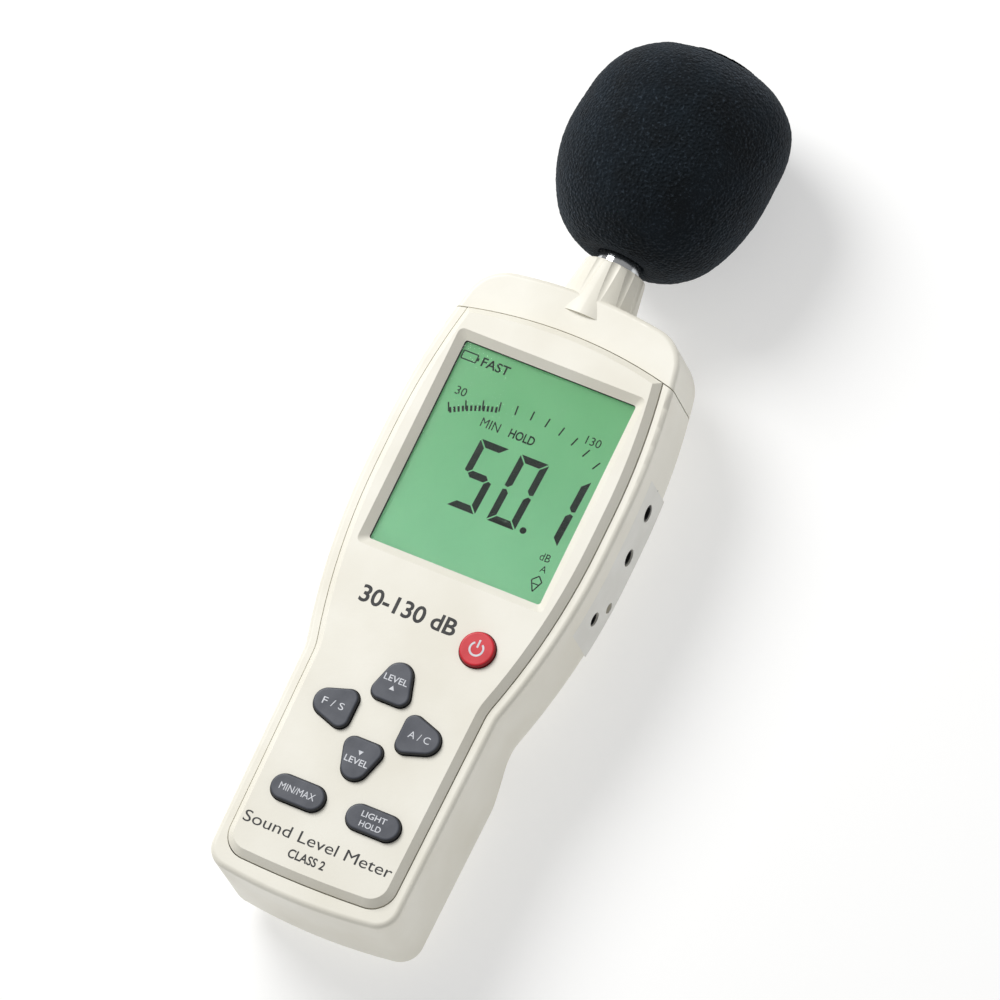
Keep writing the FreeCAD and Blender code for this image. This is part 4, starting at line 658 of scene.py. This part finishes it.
class METER_OT_stage(Operator):
    """Make the lit white table, the soft lights and the camera"""

    bl_idname = "meter.stage"
    bl_label = "Stage"

    def execute(self, context):
        settings = context.scene.meter_stage
        scene = context.scene
        scene.view_settings.view_transform = "Standard"

        floor_mesh = bpy.data.meshes.new("floor")
        level = min(cad_low.z, 0.0)
        corners = [(x * FLOOR_HALF, y * FLOOR_HALF, level) for x, y in ((-1, -1), (1, -1), (1, 1), (-1, 1))]
        floor_mesh.from_pydata(corners, [], [(0, 1, 2, 3)])
        paint = bpy.data.materials.new("lit_opal_sheet")
        paint.use_nodes = True
        tree = paint.node_tree
        shader = tree.nodes["Principled BSDF"]
        place = add(tree, "ShaderNodeTexCoord").outputs["Object"]
        cloud = add(tree, "ShaderNodeTexNoise", values={"Scale": 3.0}, links={"Vector": place})
        tint = settings.floor_colour
        tone = add(tree, "ShaderNodeMix", {"data_type": "RGBA"},
                   {6: opaque(tint), 7: opaque([CLOUD_TONE * c for c in tint])}, {0: cloud.outputs["Fac"]})
        tree.links.new(tone.outputs[2], shader.inputs["Base Color"])
        shader.inputs["Roughness"].default_value = 0.9
        shader.inputs["Specular IOR Level"].default_value = 0.1
        shader.inputs["Emission Color"].default_value = (1.0, 1.0, 1.0, 1.0)
        shader.inputs["Emission Strength"].default_value = settings.floor_glow
        floor_mesh.materials.append(paint)
        floor = bpy.data.objects.new("floor", floor_mesh)
        scene.collection.objects.link(floor)

        world = bpy.data.worlds.new("studio")
        scene.world = world
        world.use_nodes = True
        background = world.node_tree.nodes["Background"]
        background.inputs["Color"].default_value = (1.0, 1.0, 1.0, 1.0)
        background.inputs["Strength"].default_value = settings.sky

        for name, power, (size, spot) in (("key_light", settings.key_power, KEY_LAMP),
                                          ("fill_light", settings.fill_power, FILL_LAMP)):
            lamp = bpy.data.lights.new(name, "AREA")
            lamp.shape = "DISK"
            lamp.size = size
            lamp.energy = power
            light = bpy.data.objects.new(name, lamp)
            light.location = spot
            light.rotation_mode = "QUATERNION"
            light.rotation_quaternion = (-Vector(spot)).to_track_quat("-Z", "Y")
            scene.collection.objects.link(light)

        lens = bpy.data.cameras.new("camera")
        lens.lens = settings.lens
        lens.sensor_width = 36.0
        lens.clip_start = 0.05
        lens.clip_end = 50.0
        camera = bpy.data.objects.new("camera", lens)
        back = VIEW_RIGHT.cross(VIEW_UP).normalized()
        aim = (Vector((0.0, DISPLAY_Y, FACE_Z)) + VIEW_RIGHT * AIM_SIDE + VIEW_UP * AIM_LIFT) * MM
        turn = Matrix((VIEW_RIGHT, back.cross(VIEW_RIGHT), back)).transposed().to_4x4()
        camera.matrix_world = Matrix.Translation(aim + back * settings.distance) @ turn
        scene.collection.objects.link(camera)
        scene.camera = camera
        return {"FINISHED"}


# ---- Finishes of the CAD nodes ----


class METER_OT_finishes(Operator):
    """Give every carried-over CAD node the finish of its material slot"""

    bl_idname = "meter.finishes"
    bl_label = "Finishes"

    def execute(self, context):
        settings = context.scene.meter_finish
        chosen = {
            "moulded_cream_abs": settings.case_colour,
            "painted_grey_silicone": settings.key_colour,
            "painted_red_silicone": settings.power_colour,
            "open_cell_charcoal_foam": settings.foam_colour,
        }
        for name, spec in FINISHES.items():
            tones = [linear(tone) for tone in spec["tones"]]
            if name in chosen:
                tones[0] = tuple(chosen[name])
            make_finish(name, tones)
        slot_of = {part["node"]: part["material_slot"] for part in frame["record"]["subparts"]}
        for name, node in frame["nodes"].items():
            node.data.materials.clear()
            node.data.materials.append(finish_named(SLOT_FINISH[slot_of[name]]))
        return {"FINISHED"}


# ---- Windscreen ----

# How the cut foam differs from the CAD node's turned outline: extra radius near its mouth, a shift to
# the side, and the shares of its length where the first ends and the lean starts.
FULLER_NEAR_END = 0.73
SIDE_SHIFT = -0.5
FULLER_UP_TO = 0.6
BEND_START = 0.35
# The bore: its play on the tube, its depth past the grille, and the flare and depths of its mouth.
BORE_PLAY = 0.3
BORE_PAST_GRILLE = 1.0
MOUTH_FLARE = 0.5
MOUTH_DEPTH = 0.6
MOUTH_EDGE = 0.05
# Waves per millimetre of the slow unevenness and of the cells, and how far both are sunk in.
SLOW_WAVES = 0.09
CELL_WAVES = 1.1
RELIEF_SINK = 0.1
# Which CAD points are on the outline: off the mouth's plane, and clear of the bore or near the far
# end. The last step stays a margin short of the point that closes the end.
OFF_MOUTH = 0.02
CLEAR_OF_BORE = 1.0
FAR_END = 2.0
STEP_MARGIN = 0.1


def foam_outline(count):
    """Evenly spaced (radius, distance) points of the CAD windscreen's outline, near end first."""
    points = np.array([v.co for v in frame["nodes"]["windscreen"].data.vertices], float) / MM
    squared = points[:, 0] ** 2 + (points[:, 2] - MIC_Z) ** 2
    reach = points[:, 1] - FOAM_LOW.y
    length = FOAM_HIGH.y - FOAM_LOW.y
    clear = (squared > (TUBE_RADIUS + CLEAR_OF_BORE) ** 2) | (reach > length - FAR_END)
    outer = (reach > OFF_MOUTH) & clear
    steps, group = np.unique(np.round(reach[outer], 1), return_inverse=True)
    radius = np.sqrt(np.bincount(group, squared[outer]) / np.bincount(group))
    kept = steps < length - STEP_MARGIN
    radius = np.append(radius[kept], 0.0)
    steps = np.append(steps[kept], length)
    travel = np.append(0.0, np.cumsum(np.hypot(np.diff(radius), np.diff(steps))))
    even = np.linspace(0.0, travel[-1], count + 1)[:-1]
    return list(zip(np.interp(even, travel, radius), np.interp(even, travel, steps)))


class METER_OT_windscreen(Operator):
    """Make the foam windscreen, bored for the microphone tube"""

    bl_idname = "meter.windscreen"
    bl_label = "Windscreen"

    def execute(self, context):
        settings = context.scene.meter_windscreen
        length = FOAM_HIGH.y - FOAM_LOW.y
        bore = TUBE_RADIUS + BORE_PLAY
        bore_depth = span("mic_grille")[1].y + BORE_PAST_GRILLE - FOAM_LOW.y
        inner = [(bore, bore_depth), (bore, MOUTH_DEPTH), (bore + MOUTH_FLARE, MOUTH_EDGE)]
        outline = foam_outline(settings.along)
        around = settings.around

        points = []
        start = FOAM_LOW.y + settings.seat / MM
        for radius, reach in inner:
            for i in range(around):
                turn = 2 * math.pi * i / around
                points.append(Vector((radius * math.cos(turn), start + reach,
                                      MIC_Z + radius * math.sin(turn))) * MM)
        for index, (radius, reach) in enumerate(outline):
            share = reach / length
            fuller = FULLER_NEAR_END * math.sin(math.pi * min(share / FULLER_UP_TO, 1.0))
            bend = max(0.0, (share - BEND_START) / (1 - BEND_START))
            lean = settings.lean / MM * bend * bend * (3 - 2 * bend)
            before = outline[max(index - 1, 0)]
            after = outline[min(index + 1, len(outline) - 1)]
            slope = Vector((after[1] - before[1], before[0] - after[0])).normalized()
            for i in range(around):
                turn = 2 * math.pi * i / around
                out = Vector((math.cos(turn) * slope.x, slope.y, math.sin(turn) * slope.x))
                across = SIDE_SHIFT * min(share / BEND_START, 1.0) + lean
                point = Vector((across + (radius + fuller) * math.cos(turn), start + reach,
                                MIC_Z + (radius + fuller) * math.sin(turn)))
                slow = noise.noise(point * SLOW_WAVES) * settings.pucker / MM
                cell = noise.noise(point * CELL_WAVES) * settings.cells / MM
                points.append((point + out * (slow + cell - RELIEF_SINK)) * MM)
        bore_end = len(points)
        points.append(Vector((0.0, start + bore_depth, MIC_Z)) * MM)
        far_side = SIDE_SHIFT + settings.lean / MM
        points.append(Vector((far_side, start + length - RELIEF_SINK, MIC_Z)) * MM)
        rings = len(inner) + len(outline)
        faces = []
        for ring in range(rings - 1):
            a, b = ring * around, (ring + 1) * around
            for i in range(around):
                j = (i + 1) % around
                faces.append((a + i, a + j, b + j, b + i))
        last = (rings - 1) * around
        for i in range(around):
            j = (i + 1) % around
            faces.append((i, bore_end, j))
            faces.append((last + i, last + j, bore_end + 1))

        mesh = bpy.data.meshes.new("foam_windscreen")
        mesh.from_pydata(points, [], faces)
        shell = bmesh.new()
        shell.from_mesh(mesh)
        bmesh.ops.recalc_face_normals(shell, faces=shell.faces)
        shell.to_mesh(mesh)
        shell.free()
        for polygon in mesh.polygons:
            polygon.use_smooth = True
        mesh.materials.append(finish_named("open_cell_charcoal_foam"))
        foam = bpy.data.objects.new("foam_windscreen", mesh)
        context.scene.collection.objects.link(foam)
        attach(foam, "windscreen")
        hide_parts("windscreen")
        return {"FINISHED"}


# ---- Battery springs ----

SPRING_COUNT = 4


class METER_OT_springs(Operator):
    """Make the coil springs behind the cells"""

    bl_idname = "meter.springs"
    bl_label = "Battery springs"

    def execute(self, context):
        settings = context.scene.meter_springs
        low, high = span("battery_springs")
        wire = settings.wire / MM
        coil_radius = (high.z - low.z) / 2 - wire
        length = settings.length / MM
        middle_z = (low.z + high.z) / 2
        pitch = (high.x - low.x - 2 * (coil_radius + wire)) / (SPRING_COUNT - 1)
        first_x = low.x + coil_radius + wire
        springs = grown("battery_coil_springs", spring_row_tree(), {
            "Coil Radius": coil_radius * MM,
            "Wire Radius": settings.wire,
            "Turns": settings.turns,
            "Length": (length - 2 * wire) * MM,
            "First Row": Vector((first_x, low.y + wire, middle_z)) * MM,
            "Second Row": Vector((first_x + pitch, high.y - length + wire, middle_z)) * MM,
            "Step": Vector((2 * pitch, 0.0, 0.0)) * MM,
        }, "nickel_plated_spring_wire", "case")
        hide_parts("battery_springs")
        return {"FINISHED"}


# ---- Display ----

LIT_SEGMENTS = {
    "0": "ABCDEF", "1": "BC", "2": "ABGED", "3": "ABGCD", "4": "FGBC", "5": "AFGCD", "6": "AFGEDC",
    "7": "ABC", "8": "ABCDEFG", "9": "GFABCD",
}
DIGIT_WIDTH = 8.7
DIGIT_LEAN = 0.045
DIGIT_PLACES = (-9.8, 2.4, 15.2)
DIGIT_FOOT = -14.4
SEGMENT_GAP = 0.28
POINT_CENTRE = (13.3, -13.5)
POINT_RADIUS = 0.95
POINT_SIDES = 16
SIGN_LINE = 0.35
DISPLAY_SHIFT = (-1.13, 0.78)
# The arched scale and the bar graph inside it: angles in degrees, sizes in millimetres.
SCALE_CENTRE = (1.0, -27.0)
SCALE_START = 58.5
SCALE_SWEEP = 62.0
SCALE_MARK = (0.42, 2.7, INK)
BAR_INSET = 1.0
BAR_START = 103.0
BAR_SWEEP = 17.0
BAR_COUNT = 12
BAR_MARK = (0.62, 1.6, INK)
# Heights over the glass of the signs, of the scale, and of the bars over the scale.
SIGN_LIFT = 0.02
SCALE_LIFT = 0.035
BAR_LIFT = 0.04


def segment_outlines(width, height, stroke):
    """Outlines of the seven segments of a digit, by their usual letters."""
    gap = SEGMENT_GAP
    middle = height / 2
    half = stroke / 2
    top = [(gap, height), (stroke + gap, height - stroke), (width - stroke - gap, height - stroke),
           (width - gap, height)]
    upper_left = [(0.0, height - gap), (0.0, middle + gap + half * 0.3), (half, middle + gap),
                  (stroke, middle + half + gap), (stroke, height - stroke - gap)]
    bridge = [(half + gap, middle), (stroke + gap, middle - half),
              (width - stroke - gap, middle - half), (width - half - gap, middle),
              (width - stroke - gap, middle + half), (stroke + gap, middle + half)]

    def across(outline):
        """The outline on the other side of the digit."""
        return [(width - x, y) for x, y in outline]

    def below(outline):
        """The outline in the other half of the digit."""
        return [(x, height - y) for x, y in outline]

    return {"A": top, "B": across(upper_left), "C": below(across(upper_left)), "D": below(top),
            "E": below(upper_left), "F": upper_left, "G": bridge}


class METER_OT_display(Operator):
    """Make the digits, words, signs and bar graph of the display"""

    bl_idname = "meter.display"
    bl_label = "Display"

    def execute(self, context):
        settings = context.scene.meter_display
        middle = (DISPLAY_SHIFT[0], DISPLAY_Y + DISPLAY_SHIFT[1])
        sheet = sheet_matrix((*middle, GLASS_Z + SIGN_LIFT), (1, 0, 0), (0, 1, 0))
        height = settings.digit_height / MM
        outlines = segment_outlines(DIGIT_WIDTH, height, settings.stroke / MM)
        shapes = []
        for digit, left in zip(settings.reading, DIGIT_PLACES):
            for letter in LIT_SEGMENTS[digit]:
                leaned = [(left + x + DIGIT_LEAN * y, DIGIT_FOOT + y) for x, y in outlines[letter]]
                shapes.append(prism(leaned))
        turns = [2 * math.pi * k / POINT_SIDES for k in range(POINT_SIDES)]
        shapes.append(prism([(POINT_CENTRE[0] + POINT_RADIUS * math.cos(turn),
                              POINT_CENTRE[1] + POINT_RADIUS * math.sin(turn)) for turn in turns]))
        digits = piece("display_digits", shapes, sheet, "dark_liquid_crystal", "case")

        words = [
            lettering("FAST", -14.2, 26.0, 8.4, 2.7, bold=0.015),
            lettering("MIN", -8.2, 10.4, 5.6, 2.6),
            lettering("HOLD", 1.4, 10.4, 7.6, 2.6, bold=0.02),
            lettering("30", -20.0, 16.2, 3.2, 2.4),
            lettering("130", 20.4, 16.4, 4.4, 2.4),
            lettering("dB", 22.4, -18.2, 3.0, 2.2),
            lettering("A", 23.4, -21.4, 1.8, 1.9),
        ]
        battery = [(-24.4, 24.9), (-20.0, 24.9), (-20.0, 27.2), (-24.4, 27.2)]
        words += bars_round(battery, SIGN_LINE)
        words.append(bar(-19.6, 25.6, -19.6, 26.5, 0.5))
        lamp = [(21.6, -25.2), (23.2, -23.6), (24.6, -25.0), (23.2, -28.2)]
        words += bars_round(lamp, SIGN_LINE)
        words.append(bar(22.3, -26.0, 24.0, -26.0, 0.3))
        signs = piece("display_signs", words, sheet, "dark_liquid_crystal", "case")

        tree = arc_marks_tree()
        centre = Vector((middle[0] + SCALE_CENTRE[0], middle[1] + SCALE_CENTRE[1],
                         GLASS_Z + SCALE_LIFT)) * MM
        scale = grown("display_scale_marks", tree, {
            "Radius": settings.scale_radius,
            "Start Angle": math.radians(SCALE_START),
            "Sweep": math.radians(SCALE_SWEEP),
            "Count": settings.scale_marks,
            "Mark Size": Vector(SCALE_MARK) * MM,
            "Centre": centre,
        }, "dark_liquid_crystal", "case")
        bars = grown("display_bar_graph", tree, {
            "Radius": settings.scale_radius - BAR_INSET * MM,
            "Start Angle": math.radians(BAR_START),
            "Sweep": math.radians(BAR_SWEEP),
            "Count": BAR_COUNT,
            "Mark Size": Vector(BAR_MARK) * MM,
            "Centre": centre + Vector((0, 0, BAR_LIFT * MM)),
        }, "dark_liquid_crystal", "case")
        return {"FINISHED"}


# ---- Key legends ----


def triangle(x, y, size, upward):
    """A small solid arrowhead."""
    tip = size if upward else -size
    return prism([(x - size * 0.6, y), (x + size * 0.6, y), (x, y + tip)])


def key_signs(key):
    """White signs of one key, laid out round the middle of its top."""
    if key == "key_power":
        return [arc_stroke(0.0, -0.1, 1.9, 0.55, 125.0, 415.0), bar(0.0, 0.3, 0.0, 2.6, 0.55)]
    if key == "key_level_up":
        return [lettering("LEVEL", 0.0, 0.7, 7.0, 1.8, bold=0.01),
                triangle(0.0, -2.4, 1.3, True)]
    if key == "key_level_down":
        return [lettering("LEVEL", 0.0, -0.7, 7.0, 1.8, bold=0.01),
                triangle(0.0, 2.4, 1.3, False)]
    if key == "key_light_hold":
        return [lettering("LIGHT", 0.0, 1.2, 7.4, 1.7, bold=0.01),
                lettering("HOLD", 0.0, -1.5, 6.4, 1.7, bold=0.01)]
    words, width = {"key_fast_slow": ("F / S", 6.4), "key_weighting": ("A / C", 6.4),
                    "key_min_max": ("MIN/MAX", 10.6)}[key]
    return [lettering(words, 0.0, 0.0, width, 2.0)]


class METER_OT_legends(Operator):
    """Print the white signs on the keys"""

    bl_idname = "meter.legends"
    bl_label = "Key legends"

    def execute(self, context):
        for name in frame["nodes"]:
            if not name.startswith("key_"):
                continue
            low, high = span(name)
            middle = (low + high) / 2
            sheet = sheet_matrix((middle.x, middle.y, high.z + PRINT_LIFT), (1, 0, 0), (0, 1, 0))
            title = name.replace("key_", "legend_")
            legend = piece(title, key_signs(name), sheet, "white_pad_print", name)
        return {"FINISHED"}


# ---- Print on the case ----


class METER_OT_print(Operator):
    """Print the words on the face, beside the sockets, on the label and on the battery door"""

    bl_idname = "meter.print"
    bl_label = "Print"

    def execute(self, context):
        settings = context.scene.meter_print
        face = sheet_matrix((0.0, DISPLAY_Y, FACE_Z + PRINT_LIFT), (1, 0, 0), (0, 1, 0))
        piece("face_print", [
            lettering(settings.type_line, 0.0, -114.2, 45.0, 3.3),
            lettering(settings.class_line, -1.0, -119.4, 11.0, 2.6, bold=0.02),
            lettering(settings.range_line, -6.0, -45.5, 29.0, 5.0, bold=0.02),
        ], face, "black_pad_print", "case")

        wall_x = span("rear_cover")[1].x
        side = sheet_matrix((wall_x, DISPLAY_Y, 0.0), (0, 1, 0), (0, 0, 1))
        marks = [
            lettering("AC OUT", 8.0, 13.2, 6.2, 1.5, bold=0.01),
            lettering("DC OUT", -5.0, 12.0, 6.2, 1.5, bold=0.01),
            lettering("CAL", -18.6, 9.4, 3.4, 1.5, bold=0.01),
            lettering("DC 6V", -25.0, 13.4, 5.4, 1.5, bold=0.01),
            bar(14.9, 14.2, 14.9, 24.0, 0.28),
        ]
        side_print = piece("socket_print", marks, side, "black_pad_print", "case")
        press_on(side_print, ("rear_cover", "socket_label"), (-1, 0, 0), (wall_x, 0, 0))

        label_y = (LABEL_LOW.y + LABEL_HIGH.y) / 2
        back = sheet_matrix((0.0, label_y, LABEL_LOW.z - PRINT_LIFT), (-1, 0, 0), (0, 1, 0))
        lines = [lettering("SOUND LEVEL METER", 0.0, 13.0, 36.0, 2.8)]
        for words, y, width in (("RANGE 30-130 dB", 6.4, 27.0), ("ACCURACY 1.5 dB", 1.6, 27.0),
                                ("BATTERY 4 x 1.5 V AAA", -3.2, 32.0), ("SUPPLY DC 6 V", -8.0, 22.0)):
            lines.append(lettering(words, 0.0, y, width, 2.1))
        lines += [bar(-18.0, y, 18.0, y, 0.3) for y in (9.9, -11.8)]
        piece("label_print", lines, back, "black_pad_print", "case")

        door_middle = (DOOR_LOW.y + DOOR_HIGH.y) / 2
        door = sheet_matrix((0.0, door_middle, DOOR_LOW.z - PRINT_LIFT), (-1, 0, 0), (0, 1, 0))
        piece("door_print", [
            lettering("OPEN", 0.0, 2.0, 9.0, 2.4, bold=0.012),
            triangle(0.0, -1.4, 3.2, False),
        ], door, "black_pad_print", "battery_door")
        return {"FINISHED"}


# ---- Panel, registration and the run ----

STEPS = ("stage", "finishes", "windscreen", "springs", "display", "legends", "print")


class METER_PT_panel(Panel):
    """Lists the steps and their settings"""

    bl_idname = "METER_PT_panel"
    bl_label = "Sound meter"
    bl_space_type = "VIEW_3D"
    bl_region_type = "UI"
    bl_category = "Sound meter"

    def draw(self, context):
        layout = self.layout
        for step in STEPS:
            layout.operator("meter." + step)
        for group in SETTINGS:
            values = getattr(context.scene, group)
            box = layout.box()
            for name in values.bl_rna.properties.keys():
                if name not in ("rna_type", "name"):
                    box.prop(values, name)


SETTINGS = {
    "meter_stage": StageSettings,
    "meter_finish": FinishSettings,
    "meter_windscreen": WindscreenSettings,
    "meter_springs": SpringSettings,
    "meter_display": DisplaySettings,
    "meter_print": PrintSettings,
}
CLASSES = (*SETTINGS.values(), METER_OT_stage, METER_OT_finishes, METER_OT_windscreen, METER_OT_springs,
           METER_OT_display, METER_OT_legends, METER_OT_print, METER_PT_panel)


def register():
    """Registers the classes and hangs the settings on the scene."""
    for kind in CLASSES:
        bpy.utils.register_class(kind)
    for name, kind in SETTINGS.items():
        setattr(bpy.types.Scene, name, PointerProperty(type=kind))


def unregister():
    """Takes away what register added."""
    for name in SETTINGS:
        delattr(bpy.types.Scene, name)
    for kind in reversed(CLASSES):
        bpy.utils.unregister_class(kind)


def main():
    """Makes the whole model."""
    register()
    for step in STEPS:
        getattr(bpy.ops.meter, step)()
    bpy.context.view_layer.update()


if __name__ == "__main__":
    main()
